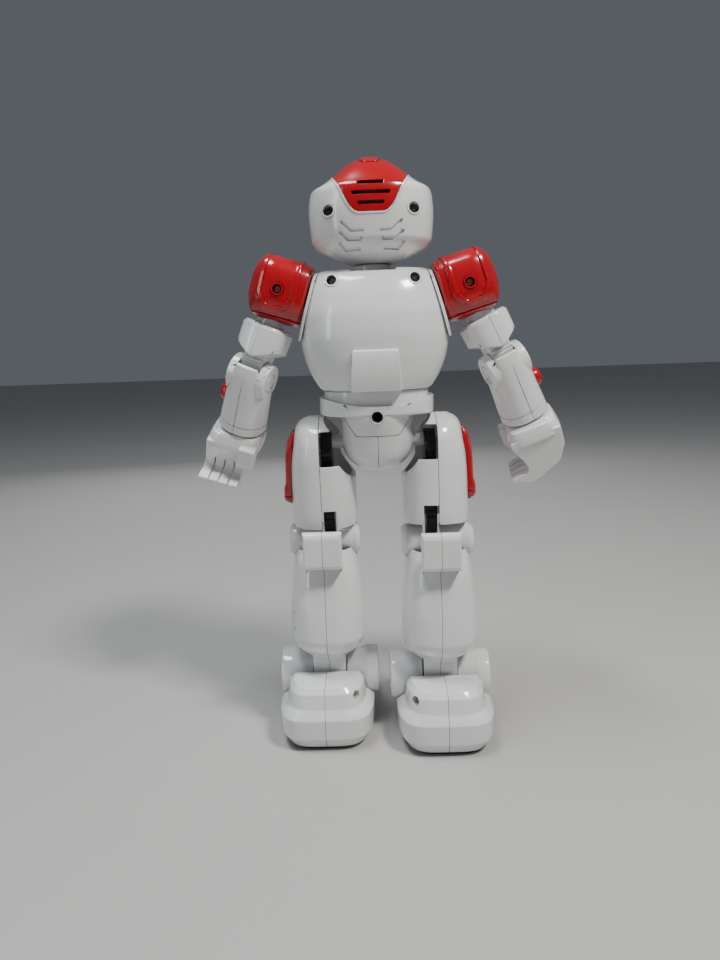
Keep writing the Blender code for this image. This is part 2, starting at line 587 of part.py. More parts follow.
def build_forearm(body, tag, side, white, red):
    arm = loft("forearm_shell" + tag, FOREARM_RINGS)
    body.cut(arm, loft("forearm_hollow" + tag, grown(FOREARM_RINGS, -WALL, WALL, 4.0)))
    body.cut(arm, block("lug_slot" + tag, (-5.7, -20, -7.5), (5.7, 6.6, 20)))
    body.join(arm, rod("elbow_pin_form" + tag, (-8.4, 0, 0), (8.4, 0, 0), PIN_RADIUS, sides=12))
    body.cut(arm, rod("dome_hole" + tag, (side * 4, 0, DOME_Z), (side * 20, 0, DOME_Z), 5.0))
    body.piece(arm, white)
    body.piece(rod("forearm_dome" + tag, (side * 8.2, 0, DOME_Z), (side * 13.8, 0, DOME_Z), 4.6, 2.6), red)


HAND_PROFILE = [(-11.4, -5.5), (-11.4, -8.0), (-7.8, -17.4), (-7.3, -20.4), (-9.0, -22.8), (-12.8, -22.5),
                (-17.0, -23.6), (-16.5, -25.2), (-7.7, -28.3), (-3.2, -26.8), (7.4, -22.3), (12.3, -14.3),
                (13.2, -5.5)]
PALM_RINGS = [(-7.0, 0.8, 1.5, 12.2, 12.7), (-2.0, 0.8, 1.0, 11.6, 12.0), (-0.4, 0.4, 0.4, 10.8, 10.8)]


def build_hand(body, tag, side, white):
    """The palm faces the robot and the thumb is in front."""
    hand = prism("hand" + tag, mirrored(HAND_PROFILE, side), -5.6, 13.6)
    body.join(hand, loft("palm_form" + tag, offset_rings(PALM_RINGS, side), power=4))
    body.join(hand, side_block("thumb_form" + tag, side, (-14.5, -10.4, -16.0), (-5.0, -2.6, -4.0)))
    body.piece(hand, white)


# Rest pose: lean and twist of the arm, bends of elbow and wrist, swing of the leg, in degrees.
REST = {
    "_left": {"side": 1, "lean": 6.0, "twist": -13, "elbow": -22, "wrist": -77, "stride": -STRIDE},
    "_right": {"side": -1, "lean": 9.5, "twist": 8, "elbow": -15, "wrist": -18, "stride": STRIDE},
}
ANKLE_HEIGHT = LIFT + HIP_Z - KNEE_DROP * cos(radians(STRIDE)) - ANKLE_DROP


def main():
    white = paint("white_shell", WHITE, 0.25)
    red = paint("red_shell", RED, 0.22)
    black = paint("black_frame", BLACK, 0.45)
    grey = paint("grey_unit", GREY, 0.5)
    green = paint("circuit_board", (0.02, 0.16, 0.07), 0.5)
    glass = paint("light_lens", (0.25, 0.55, 0.85), 0.08)
    rubber = paint("sole_rubber", (0.03, 0.03, 0.03), 0.8)

    root = Body("torso", None, place(ORIGIN_X, ORIGIN_Y, LIFT))
    build_torso(root, white, red, grey, green)
    build_pelvis(root, white, black)
    head = Body("head", root)
    build_head(head, white, red, black, glass, grey)
    build_head_button(Body("head_button", head), red)
    build_chest_button(Body("chest_button", root), glass)

    for tag, rest in REST.items():
        side = rest["side"]
        shoulder = Body("shoulder" + tag, root, place(side * SHOULDER_X, 0, SHOULDER_Z,
                                                      [(-side * SHOULDER_TILT, "Y")]))
        build_shoulder(shoulder, tag, side, rest["lean"], red)
        arm_turns = [(-side * rest["lean"], "Y"), (rest["twist"], "Z")]
        arm = Body("upper_arm" + tag, shoulder, place(turns=arm_turns))
        build_upper_arm(arm, tag, white)
        forearm = Body("forearm" + tag, arm, place(z=-ELBOW_DROP, turns=[(rest["elbow"], "X")]))
        build_forearm(forearm, tag, side, white, red)
        hand = Body("hand" + tag, forearm, place(z=-FOREARM_LENGTH - 0.5, turns=[(rest["wrist"], "Z")]))
        build_hand(hand, tag, side, white)

        thigh = Body("thigh" + tag, root, place(side * HIP_X, 0, HIP_Z, [(rest["stride"], "X")]))
        build_thigh(thigh, tag, side, white, red, black)
        shin = Body("shin" + tag, thigh, place(z=-KNEE_DROP, turns=[(-rest["stride"], "X")]))
        build_shin(shin, tag, side, white)
        foot = Body("foot" + tag, shin, place(z=-ANKLE_DROP))
        floor = build_foot(foot, tag, side, white, rubber)
        wheel = Body("wheel" + tag, foot, place(y=WHEEL_Y, z=floor + WHEEL_RADIUS + 0.1))
        wheel.piece(rod("drive_wheel" + tag, (-3, 0, 0), (3, 0, 0), WHEEL_RADIUS), rubber)


clear_scene()
robot = new_collection("coding_robot")
cutters = new_collection("cutters")
main()
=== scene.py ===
"""Looks of the educational coding robot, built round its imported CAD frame.

Shapes are drawn in millimetres in the frame of the body that they belong to, and placed in metres in the
row frame. Rings are (height, centre x, centre y, half width x, half depth y), listed from low to high.
"""
import json
import math

import bmesh
import bpy
import numpy as np
from mathutils import Matrix, Vector


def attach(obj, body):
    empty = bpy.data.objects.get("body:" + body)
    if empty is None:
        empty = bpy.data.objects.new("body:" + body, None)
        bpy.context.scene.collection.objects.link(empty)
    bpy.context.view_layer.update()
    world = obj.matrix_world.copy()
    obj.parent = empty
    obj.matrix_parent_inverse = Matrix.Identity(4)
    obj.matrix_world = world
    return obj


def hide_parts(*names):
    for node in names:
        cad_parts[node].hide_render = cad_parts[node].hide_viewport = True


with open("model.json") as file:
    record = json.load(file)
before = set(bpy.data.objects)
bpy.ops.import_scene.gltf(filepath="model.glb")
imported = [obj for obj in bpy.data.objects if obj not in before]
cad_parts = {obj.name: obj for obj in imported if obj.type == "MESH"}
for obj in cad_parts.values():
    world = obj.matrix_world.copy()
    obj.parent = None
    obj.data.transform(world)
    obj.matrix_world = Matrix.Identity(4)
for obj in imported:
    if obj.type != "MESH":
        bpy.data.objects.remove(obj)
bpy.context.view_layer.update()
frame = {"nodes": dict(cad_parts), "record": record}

MM = 0.001
WALL = 1.7                     # moulded shell thickness
SEAM = 0.14                    # width of the joint between two shell halves
AROUND = 72                    # points round a shell
STEPS = 5                      # smooth steps between two rings

NECK_Z = 217.5                 # height of the neck joint in the trunk's own frame

JOINTS = {joint["name"]: joint for joint in frame["record"]["behaviour"]["joints"]}
SIDES = {"_left": 1, "_right": -1}
WRIST_REST = {"_left": -77, "_right": -18}       # turn of each hand on its forearm at rest, in degrees


# ---------------------------------------------------------------- frames

class Body:
    """A moving body of the frame and the place of its own axes."""

    def __init__(self, name, matrix):
        self.name = name
        self.matrix = matrix
        self.to_world = matrix @ Matrix.Scale(MM, 4)


def axes_at(origin, x_axis, z_axis):
    x_axis = Vector(x_axis).normalized()
    z_axis = Vector(z_axis).normalized()
    y_axis = z_axis.cross(x_axis).normalized()
    turn = Matrix((x_axis, y_axis, z_axis)).transposed().to_4x4()
    return Matrix.Translation(Vector(origin)) @ turn


def joint_place(name):
    return Vector(JOINTS[name]["pos_m"])


def joint_axis(name):
    return Vector(JOINTS[name]["axis"])


def find_bodies():
    places = {}
    neck = joint_place("neck_yaw")
    for name in ("torso", "head", "head_button", "chest_button"):
        places[name] = Matrix.Translation((neck.x, neck.y, neck.z - NECK_Z * MM))
    for tag in SIDES:
        swing = joint_axis("shoulder_swing" + tag)
        upright = swing.cross(Vector((0, 1, 0)))
        places["shoulder" + tag] = axes_at(joint_place("shoulder_swing" + tag), swing, upright)
        bend = joint_axis("elbow_bend" + tag)
        twist = joint_axis("arm_twist" + tag)
        places["upper_arm" + tag] = axes_at(joint_place("arm_twist" + tag), bend, twist)
        forearm = axes_at(joint_place("elbow_bend" + tag), bend, joint_axis("wrist_twist" + tag))
        places["forearm" + tag] = forearm
        turned = forearm.to_3x3().to_4x4() @ Matrix.Rotation(math.radians(WRIST_REST[tag]), 4, "Z")
        places["hand" + tag] = Matrix.Translation(joint_place("wrist_twist" + tag)) @ turned
        hip = joint_place("hip_swing" + tag)
        places["thigh" + tag] = axes_at(hip, (1, 0, 0), hip - joint_place("knee_bend" + tag))
        for name, joint in (("shin", "knee_bend"), ("foot", "ankle_pitch")):
            places[name + tag] = Matrix.Translation(joint_place(joint + tag))
    return {name: Body(name, matrix) for name, matrix in places.items()}


BODIES = find_bodies()


# ---------------------------------------------------------------- shapes

def new_object(body, points, faces):
    """A mesh from points in the body's millimetres, placed in the row frame."""
    mesh = bpy.data.meshes.new("shape")
    mesh.from_pydata([tuple(body.to_world @ Vector(point)) for point in points], [], faces)
    face_outward(mesh)
    return linked(bpy.data.objects.new("shape", mesh))


def linked(obj):
    bpy.context.scene.collection.objects.link(obj)
    return obj


def face_outward(mesh):
    bm = bmesh.new()
    bm.from_mesh(mesh)
    bmesh.ops.recalc_face_normals(bm, faces=bm.faces)
    bm.to_mesh(mesh)
    bm.free()


def smooth_rings(rings, steps=STEPS):
    """Rings read from a Catmull-Rom curve through the given ones."""
    keys = [np.array(ring, float) for ring in rings]
    keys = [2 * keys[0] - keys[1]] + keys + [2 * keys[-1] - keys[-2]]
    result = []
    for i in range(1, len(keys) - 2):
        a, b, c, d = keys[i - 1:i + 3]
        before = max(abs(b[0] - a[0]), 0.01)
        gap = max(abs(c[0] - b[0]), 0.01)
        after = max(abs(d[0] - c[0]), 0.01)
        slope_b = limited((b - a) / before, (c - b) / gap) * gap
        slope_c = limited((c - b) / gap, (d - c) / after) * gap
        for step in range(steps):
            t = step / steps
            result.append((2 * t**3 - 3 * t**2 + 1) * b + (t**3 - 2 * t**2 + t) * slope_b
                          + (3 * t**2 - 2 * t**3) * c + (t**3 - t**2) * slope_c)
    result.append(keys[-2])
    return [tuple(ring) for ring in result]


def limited(first, second):
    """A slope between two neighbours that never overshoots: their harmonic mean, or level at a turn."""
    product = first * second
    total = np.where(np.abs(first + second) < 1e-9, 1.0, first + second)
    slope = np.where(product > 0, 2 * product / total, 0.0)
    slope[0] = 1.0
    return slope


def rounded_ends(rings, low, high):
    """The rings with their first and last one rolled over by a quarter circle."""
    rolled = list(rings)
    for radius, at_top in ((low, False), (high, True)):
        if not radius:
            continue
        edge = rolled[-1] if at_top else rolled[0]
        sign = 1 if at_top else -1
        inner = edge[0] - sign * radius
        arc = []
        for step in range(1, 6):
            angle = math.pi / 2 * step / 5
            drop = radius * (1 - math.cos(angle))
            height = inner + sign * radius * math.sin(angle)
            arc.append((height, edge[1], edge[2], edge[3] - drop, edge[4] - drop))
        if at_top:
            rolled = [ring for ring in rolled if ring[0] < inner - 0.05] + [(inner, *edge[1:])] + arc
        else:
            rolled = arc[::-1] + [(inner, *edge[1:])] + [ring for ring in rolled if ring[0] > inner + 0.05]
    return rolled


def ring_points(ring, count, power):
    height, centre_x, centre_y, half_x, half_y = ring
    angle = 2 * np.pi * (np.arange(count) + 0.5) / count
    across = np.sign(np.cos(angle)) * np.abs(np.cos(angle)) ** (2 / power)
    along = np.sign(np.sin(angle)) * np.abs(np.sin(angle)) ** (2 / power)
    return np.stack([centre_x + half_x * across, centre_y + half_y * along, np.full(count, height)], axis=1)


def loft(body, rings, power=2.4, count=AROUND, steps=STEPS, low=0.0, high=0.0, turn=None):
    """A closed smooth skin over rings, with its ends rolled over by the radii low and high."""
    fine = rounded_ends(smooth_rings(rings, steps), low, high)
    points = np.concatenate([ring_points(ring, count, power) for ring in fine])
    if turn is not None:
        points = points @ np.array(turn.to_3x3()).T
    faces = [tuple(reversed(range(count)))]
    for i in range(len(fine) - 1):
        for j in range(count):
            after = (j + 1) % count
            faces.append((i * count + j, i * count + after, (i + 1) * count + after, (i + 1) * count + j))
    faces.append(tuple(range((len(fine) - 1) * count, len(fine) * count)))
    return new_object(body, points, faces)


def grown(rings, amount, low=0.0, high=0.0):
    wider = [[z, x, y, max(a + amount, 0.6), max(b + amount, 0.6)] for z, x, y, a, b in rings]
    wider[0][0] += low
    wider[-1][0] += high
    return [tuple(ring) for ring in wider]


def rounded(outline, radius, steps=5):
    """An outline with an arc-like curve at each corner."""
    result = []
    count = len(outline)
    for i in range(count):
        before, corner, after = (Vector(outline[(i + k) % count]) for k in (-1, 0, 1))
        to_before, to_after = before - corner, after - corner
        reach = min(radius, 0.45 * to_before.length, 0.45 * to_after.length)
        start = corner + to_before.normalized() * reach
        end = corner + to_after.normalized() * reach
        for step in range(steps + 1):
            t = step / steps
            point = start * (1 - t) ** 2 + corner * 2 * t * (1 - t) + end * t**2
            result.append((point.x, point.y))
    return result


def prism(body, outline, low, high, axis="Y", radius=0.0):
    """A flat outline pushed along an axis. The outline lists the other two coordinates."""
    if radius:
        outline = rounded(outline, radius)
    count = len(outline)
    points = []
    for reach in (low, high):
        for a, b in outline:
            points.append({"X": (reach, a, b), "Y": (a, reach, b), "Z": (a, b, reach)}[axis])
    faces = [tuple(range(count)), tuple(reversed(range(count, 2 * count)))]
    for i in range(count):
        j = (i + 1) % count
        faces.append((i, i + count, j + count, j))
    return new_object(body, points, faces)


def block(body, low, high):
    corners = [(low[0], low[1]), (high[0], low[1]), (high[0], high[1]), (low[0], high[1])]
    return prism(body, corners, low[2], high[2], "Z")


def revolve(body, profile, start, toward, count=48):
    """A turned body. The profile lists (radius, distance along the axis) from axis to axis."""
    start = Vector(start)
    along = (Vector(toward) - start).normalized()
    side = along.orthogonal().normalized()
    other = along.cross(side)
    points = []
    faces = []
    rows = []
    for radius, reach in profile:
        if radius < 1e-6:
            rows.append([len(points)])
            points.append(start + along * reach)
            continue
        rows.append(list(range(len(points), len(points) + count)))
        for i in range(count):
            angle = 2 * math.pi * (i + 0.5) / count
            points.append(start + along * reach + (side * math.cos(angle) + other * math.sin(angle)) * radius)
    for low, high in zip(rows, rows[1:]):
        for i in range(count):
            j = (i + 1) % count
            if len(low) == 1:
                faces.append((low[0], high[j], high[i]))
            elif len(high) == 1:
                faces.append((low[i], low[j], high[0]))
            else:
                faces.append((low[i], low[j], high[j], high[i]))
    return new_object(body, points, faces)


def rod(body, start, end, radius, end_radius=None, edge=0.0, count=48):
    """A round bar with softly rounded rims."""
    length = (Vector(end) - Vector(start)).length
    far = radius if end_radius is None else end_radius
    profile = [(0, 0)]
    if edge:
        profile += [(radius - edge, 0), (radius - edge * 0.3, edge * 0.3), (radius, edge)]
        profile += [(far, length - edge), (far - edge * 0.3, length - edge * 0.3), (far - edge, length)]
    else:
        profile += [(radius, 0), (far, length)]
    return revolve(body, profile + [(0, length)], start, end, count)


def section_loft(body, sections):
    """A skin over polygons of equal point count, from the lowest to the highest."""
    count = len(sections[0])
    points = [point for section in sections for point in section]
    last = (len(sections) - 1) * count
    faces = [tuple(reversed(range(count))), tuple(range(last, last + count))]
    for i in range(len(sections) - 1):
        for j in range(count):
            after = (j + 1) % count
            faces.append((i * count + j, i * count + after, (i + 1) * count + after, (i + 1) * count + j))
    return new_object(body, points, faces)


def stroked(points, width):
    """The outline of a line of the given width with square ends and mitred bends."""
    points = [Vector(point) for point in points]
    left = []
    right = []
    for i, point in enumerate(points):
        before = (point - points[i - 1]).normalized() if i else None
        after = (points[i + 1] - point).normalized() if i + 1 < len(points) else None
        along = ((before or after) + (after or before)).normalized()
        normal = Vector((-along.y, along.x))
        stretch = 1 / max(0.5, along.dot(before or after))
        left.append(point + normal * width / 2 * stretch)
        right.append(point - normal * width / 2 * stretch)
    return [tuple(point) for point in left + right[::-1]]


def merged(objs):
    """Several separate solids as one cutting tool."""
    mesh = bmesh.new()
    for obj in objs:
        mesh.from_mesh(obj.data)
    mesh.to_mesh(objs[0].data)
    mesh.free()
    for obj in objs[1:]:
        bpy.data.objects.remove(obj, do_unlink=True)
    return objs[0]


def half_space(body, axis, side, centre=0.0, reach=290.0):
    low = [-reach] * 3
    high = [reach] * 3
    index = "XYZ".index(axis)
    low[index], high[index] = sorted((centre + SEAM / 2 * side, centre + reach * side))
    return block(body, low, high)


def carve(obj, steps):
    """Applies (operation, tool) Booleans in order."""
    for operation, tool in steps:
        step = obj.modifiers.new("step", "BOOLEAN")
        step.operation = operation
        step.object = tool
    return baked(obj)


def baked(obj):
    """The object with its modifiers applied."""
    graph = bpy.context.evaluated_depsgraph_get()
    mesh = bpy.data.meshes.new_from_object(obj.evaluated_get(graph))
    obj.modifiers.clear()
    old = obj.data
    obj.data = mesh
    bpy.data.meshes.remove(old)
    return obj


TOOLS = []


def as_tools(operation, objs):
    for obj in objs:
        if obj not in TOOLS:
            TOOLS.append(obj)
    return [(operation, obj) for obj in objs]


def cuts(*objs):
    return as_tools("DIFFERENCE", objs)


def keeps(*objs):
    return as_tools("INTERSECT", objs)


def joins(*objs):
    return as_tools("UNION", objs)


def copied(obj):
    twin = obj.copy()
    twin.data = obj.data.copy()
    return linked(twin)


def halves(shell, body, stem, names, tag, axis, side, slot, edge, centre=0.0):
    """Splits a shell in two pieces, the first one on the given side of the middle plane."""
    for name, facing in zip(names, (side, -side)):
        half = carve(copied(shell), keeps(half_space(body, axis, facing, centre)))
        done(half, f"{stem}_{name}{tag}", body, [f"{stem}_{name}_shell{tag}"], slot=slot, edge=edge)
    bpy.data.objects.remove(shell, do_unlink=True)


def engraving(body, forms, rings, depth, **options):
    """Cutting forms that reach only to a depth under the skin that the rings make."""
    core = loft(body, grown(rings, -depth, depth, -depth), **options)
    return carve(merged(forms), cuts(core))


def remove_tools():
    """Deletes the cutting tools once the pieces that they shaped are baked."""
    for obj in TOOLS:
        bpy.data.objects.remove(obj, do_unlink=True)
    TOOLS.clear()


def done(obj, name, body, replaces=(), slot="white_plastic", edge=0.22):
    """Names the piece, softens its edges, shades and paints it and hands it to its body."""
    obj.name = obj.data.name = name
    if edge:
        bevel = obj.modifiers.new("edges", "BEVEL")
        bevel.width = edge * MM
        bevel.segments = 2
        bevel.limit_method = "ANGLE"
        bevel.angle_limit = math.radians(32)
        bevel.use_clamp_overlap = False
        weld = obj.modifiers.new("weld", "WELD")
        weld.merge_threshold = 0.02 * MM
        baked(obj)
        obj.data.name = name
    obj.data.shade_smooth()
    obj.data.set_sharp_from_angle(angle=math.radians(40))
    normals = obj.modifiers.new("normals", "WEIGHTED_NORMAL")
    normals.keep_sharp = True
    obj.data.materials.clear()
    obj.data.materials.append(MATERIALS[slot])
    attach(obj, body.name)
    if replaces:
        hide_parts(*replaces)
    return obj


# ---------------------------------------------------------------- materials

class Shader:
    """A Principled material being wired up."""

    def __init__(self, name, colour, roughness, **sockets):
        self.material = bpy.data.materials.new(name)
        self.material.use_nodes = True
        self.tree = self.material.node_tree
        self.main = self.tree.nodes["Principled BSDF"]
        self.colour = (*colour, 1.0)
        self.set({"Base Color": self.colour, "Roughness": roughness})
        self.set({socket.replace("_", " ").title(): value for socket, value in sockets.items()})
        self.place = self.node("TexCoord", {}, "Object")

    def fill(self, node, inputs):
        """Links the inputs that are sockets and sets those that are plain values."""
        for key, value in inputs.items():
            if isinstance(value, bpy.types.NodeSocket):
                self.tree.links.new(value, node.inputs[key])
            else:
                node.inputs[key].default_value = value

    def set(self, inputs):
        self.fill(self.main, inputs)

    def node(self, kind, inputs, output=0, **settings):
        node = self.tree.nodes.new("ShaderNode" + kind)
        for key, value in settings.items():
            setattr(node, key, value)
        self.fill(node, inputs)
        return node.outputs[output]

    def noise(self, scale, detail, stretch=None):
        """Noise over the object's metres, so scale 100 gives 10 mm patches."""
        place = self.place
        if stretch:
            place = self.node("Mapping", {"Vector": place, "Scale": stretch, "Rotation": (0.4, 0.9, 0.3)})
        return self.node("TexNoise", {"Vector": place, "Scale": scale, "Detail": detail, "Roughness": 0.55})

    def remap(self, value, low, high, out_low, out_high):
        return self.node("MapRange", {"Value": value, "From Min": low, "From Max": high,
                                      "To Min": out_low, "To Max": out_high})

    def mix(self, factor, first, second):
        return self.node("Mix", {0: factor, 6: first, 7: (*second, 1.0)}, 2, data_type="RGBA")

    def math(self, operation, first, second):
        return self.node("Math", {0: first, 1: second}, operation=operation)

    def bump(self, height, strength, distance):
        relief = {"Height": height, "Strength": strength, "Distance": distance}
        self.set({"Normal": self.node("Bump", relief)})


def moulded_plastic(name, colour, tint, roughness, coat, mottle, **sockets):
    """Injection-moulded gloss plastic: faint flow marks, orange peel, fine scuffs and a painted highlight
    along convex edges.
    """
    shader = Shader(name, colour, roughness, coat_weight=coat, coat_roughness=0.08, **sockets)
    flow = shader.remap(shader.noise(38, 3), 0.35, 0.68, 0, mottle)
    body = shader.mix(flow, shader.colour, tint)
    body = shader.mix(shader.remap(shader.noise(1500, 2), 0.70, 0.78, 0, 0.12), body, (0.30, 0.28, 0.26))
    # Convex edges are painted lighter: a painted highlight, broken up by noise.
    edges = shader.remap(shader.node("NewGeometry", {}, "Pointiness"), 0.52, 0.60, 0, 1)
    edge_highlight = shader.remap(shader.math("MULTIPLY", edges, shader.noise(260, 4)), 0.2, 0.7, 0, 0.35)
    edge_highlight_colour = [min(1.0, value * 1.12 + 0.02) for value in colour]
    scuffs = shader.remap(shader.noise(420, 3, (1.0, 0.06, 1.0)), 0.60, 0.72, 0, 0.10)
    haze = shader.remap(shader.noise(55, 4), 0.3, 0.7, roughness - 0.05, roughness + 0.07)
    shader.set({"Base Color": shader.mix(edge_highlight, body, edge_highlight_colour),
                "Roughness": shader.math("ADD", haze, scuffs), "IOR": 1.49})
    grain = shader.math("MULTIPLY", shader.noise(1900, 2), 0.12)
    shader.bump(shader.math("ADD", shader.noise(240, 2), grain), 0.10, 0.00025)
    return shader.material


def textured(name, colour, roughness, patches, second, haze, grain, **sockets):
    """A matt material. Patches and haze are (noise scale, detail, ...), grain ends in strength and depth."""
    shader = Shader(name, colour, roughness, **sockets)
    spots = shader.remap(shader.noise(*patches[:2]), *patches[2:4], 0, patches[4])
    shader.set({"Base Color": shader.mix(spots, shader.colour, second),
                "Roughness": shader.remap(shader.noise(*haze[:2]), 0.3, 0.7, *haze[2:])})
    shader.bump(shader.noise(*grain[:2]), *grain[2:])
    return shader.material


def visor_plastic():
    shader = Shader("visor_black", (0.006, 0.006, 0.009), 0.07, coat_weight=0.6, coat_roughness=0.03)
    smears = shader.remap(shader.noise(70, 5, (1.0, 0.4, 1.0)), 0.4, 0.75, 0.05, 0.16)
    shader.set({"Base Color": shader.mix(shader.noise(300, 3), shader.colour, (0.012, 0.012, 0.017)),
                "Roughness": smears})
    return shader.material


def light_lens():
    """A pale blue diffuser whose cells are painted lighter, a painted glow standing in for a lamp behind it.
    """
    shader = Shader("light_lens", (0.20, 0.52, 0.85), 0.12, coat_weight=0.7, coat_roughness=0.04)
    # Painted glow: the cells lighten the base colour as if lit from behind.
    cells = shader.node("TexVoronoi", {"Vector": shader.place, "Scale": 1400}, "Distance")
    painted_glow = shader.remap(cells, 0, 0.8, 0, 0.6)
    shader.set({"Base Color": shader.mix(painted_glow, shader.colour, (0.62, 0.84, 0.97)),
                "Roughness": shader.remap(shader.noise(200, 3), 0.3, 0.7, 0.08, 0.2)})
    shader.bump(cells, 0.3, 0.0001)
    return shader.material


def circuit_board():
    shader = Shader("circuit_board", (0.012, 0.13, 0.05), 0.35)
    tracks = shader.node("TexBrick", {"Vector": shader.place, "Scale": 900}, "Fac")
    shader.set({"Base Color": shader.mix(tracks, shader.colour, (0.03, 0.26, 0.10)),
                "Roughness": shader.remap(shader.noise(400, 3), 0.3, 0.7, 0.28, 0.45)})
    shader.bump(tracks, 0.2, 0.00005)
    return shader.material


MATERIALS = {
    "white_plastic": moulded_plastic(
        "white_plastic", (0.76, 0.77, 0.77), (0.72, 0.71, 0.67), 0.17, 0.6, 0.5,
        subsurface_weight=0.12, subsurface_radius=(1.0, 0.9, 0.75), subsurface_scale=0.0012),
    "red_plastic": moulded_plastic(
        "red_plastic", (0.42, 0.003, 0.009), (0.34, 0.002, 0.006), 0.20, 0.6, 0.6),
    "black_plastic": textured(
        "black_plastic", (0.010, 0.010, 0.012), 0.42, (90, 5, 0.45, 0.75, 0.5), (0.030, 0.030, 0.034),
        (130, 4, 0.34, 0.52), (2600, 3, 0.25, 0.00008)),
    "steel": textured(
        "steel", (0.33, 0.30, 0.27), 0.35, (900, 5, 0.52, 0.66, 0.8), (0.16, 0.075, 0.035),
        (700, 4, 0.28, 0.6), (1500, 3, 0.3, 0.0001), metallic=1.0),
    "rubber": textured(
        "rubber", (0.022, 0.022, 0.023), 0.75, (140, 5, 0.45, 0.7, 0.7), (0.060, 0.056, 0.050),
        (300, 4, 0.62, 0.88), (1800, 4, 0.4, 0.00012)),
    "grey_plastic": textured(
        "grey_plastic", (0.20, 0.20, 0.215), 0.5, (120, 4, 0, 1, 1), (0.15, 0.15, 0.16),
        (220, 4, 0.42, 0.6), (2200, 3, 0.3, 0.0001)),
    "visor_black": visor_plastic(), "light_lens": light_lens(), "circuit_board": circuit_board(),
}


def paint_frame_nodes():
    """Every node that stays from the frame gets its slot's full material."""
    for entry in frame["record"]["subparts"]:
        obj = frame["nodes"][entry["node"]]
        obj.data.materials.clear()
        obj.data.materials.append(MATERIALS[entry["material_slot"]])


# ---------------------------------------------------------------- stage

CAMERA_PLACE = (0.00210, 0.34283, 0.18825)
CAMERA_PITCH = 10.81           # degrees below the horizon
CAMERA_YAW = 1.20
CAMERA_ROLL = -2.00
CAMERA_LENS = 27.18
LIT_POINT = (0, 0, 0.14)       # every light aims at the waist
FLOOR_COLOUR = (0.46, 0.45, 0.435)
FLOOR_SHADE = (0.41, 0.405, 0.395)
FLOOR_REACH = 4.0


def make_camera():
    data = bpy.data.cameras.new("camera")
    data.lens = CAMERA_LENS
    data.sensor_width = 36.0
    data.clip_start = 0.01
    camera = linked(bpy.data.objects.new("camera", data))
    place = Matrix.Translation(CAMERA_PLACE)
    for angle, axis in ((180 + CAMERA_YAW, "Z"), (90 - CAMERA_PITCH, "X"), (CAMERA_ROLL, "Z")):
        place = place @ Matrix.Rotation(math.radians(angle), 4, axis)
    camera.matrix_world = place
    bpy.context.scene.camera = camera


def make_light(name, place, size, power, colour=(1.0, 1.0, 1.0), mirrored=True):
    data = bpy.data.lights.new(name, "AREA")
    data.shape = "RECTANGLE"
    data.size, data.size_y = size
    data.energy = power
    data.color = colour
    light = linked(bpy.data.objects.new(name, data))
    light.location = place
    light.visible_glossy = mirrored
    light.rotation_euler = (Vector(LIT_POINT) - Vector(place)).to_track_quat("-Z", "Y").to_euler()


def make_stage():
    shader = Shader("floor", FLOOR_COLOUR, 0.55)
    shade = shader.remap(shader.noise(9, 3), 0.3, 0.7, 0, 0.25)
    shader.set({"Base Color": shader.mix(shade, shader.colour, FLOOR_SHADE)})
    mesh = bpy.data.meshes.new("floor")
    corners = [(x * FLOOR_REACH, y * FLOOR_REACH, 0) for x, y in ((-1, -1), (1, -1), (1, 1), (-1, 1))]
    mesh.from_pydata(corners, [], [(0, 1, 2, 3)])
    mesh.materials.append(shader.material)
    linked(bpy.data.objects.new("floor", mesh))

    world = bpy.data.worlds.new("studio")
    bpy.context.scene.world = world
    world.use_nodes = True
    background = world.node_tree.nodes["Background"]
    background.inputs["Color"].default_value = (0.80, 0.87, 0.98, 1.0)
    background.inputs["Strength"].default_value = 0.13
    make_light("key", (-0.38, 0.34, 0.80), (0.16, 0.12), 7.2, (1.0, 0.98, 0.95))
    make_light("top", (0.22, 0.10, 0.95), (0.4, 0.2), 5.5, (0.92, 0.96, 1.0))
    make_light("fill", (0.70, 0.55, 0.40), (0.12, 0.6), 1.0, (0.95, 0.97, 1.0))
    make_light("front", (0.15, -0.75, 0.40), (0.7, 0.5), 1.6, mirrored=False)


# ---------------------------------------------------------------- screws and wells

WELL_RADIUS = 2.25


def screw(body, name, at, outward, radius=1.9):
    """A pan-head screw with a cross recess, its head facing outward."""
    at, outward = Vector(at), Vector(outward).normalized()
    profile = [(0, -1.6), (radius * 0.45, -1.6), (radius * 0.45, 0), (radius, 0), (radius, 0.5),
               (radius * 0.86, 0.9), (radius * 0.55, 1.15), (0, 1.2)]
    head = revolve(body, profile, at, at + outward, 32)
    side = outward.orthogonal().normalized()
    other = outward.cross(side)
    bars = []
    for first, second in ((side, other), (other, side)):
        corners = []
        for reach in (0.35, 2.0):
            section = []
            for a, b in ((-1, -1), (1, -1), (1, 1), (-1, 1)):
                section.append(at + outward * reach + first * a * radius * 0.62 + second * b * radius * 0.13)
            corners.append(section)
        bars.append(section_loft(body, corners))
    carve(head, cuts(*bars))
    return done(head, name, body, slot="steel", edge=0.06)


def well(body, name, mouth, outward, depth, skin, slot="white_plastic", radius=WELL_RADIUS):
    """A moulded tube behind a screw hole, trimmed just proud of the skin, with its screw inside."""
    mouth, outward = Vector(mouth), Vector(outward).normalized()
    floor = mouth - outward * depth
    tube = revolve(body, [(0, 0), (radius + 0.7, 0), (radius + 0.7, depth + 6), (radius, depth + 6),
                                (radius * 0.94, 1.0), (0, 1.0)], floor, mouth, 40)
    carve(tube, keeps(skin))
    done(tube, name, body, slot=slot, edge=0.12)
    screw(body, name + "_screw", floor + outward * 1.4, outward, radius * 0.82)
    return rod(body, floor - outward, mouth + outward * 8, radius + 0.72)


# ---------------------------------------------------------------- head

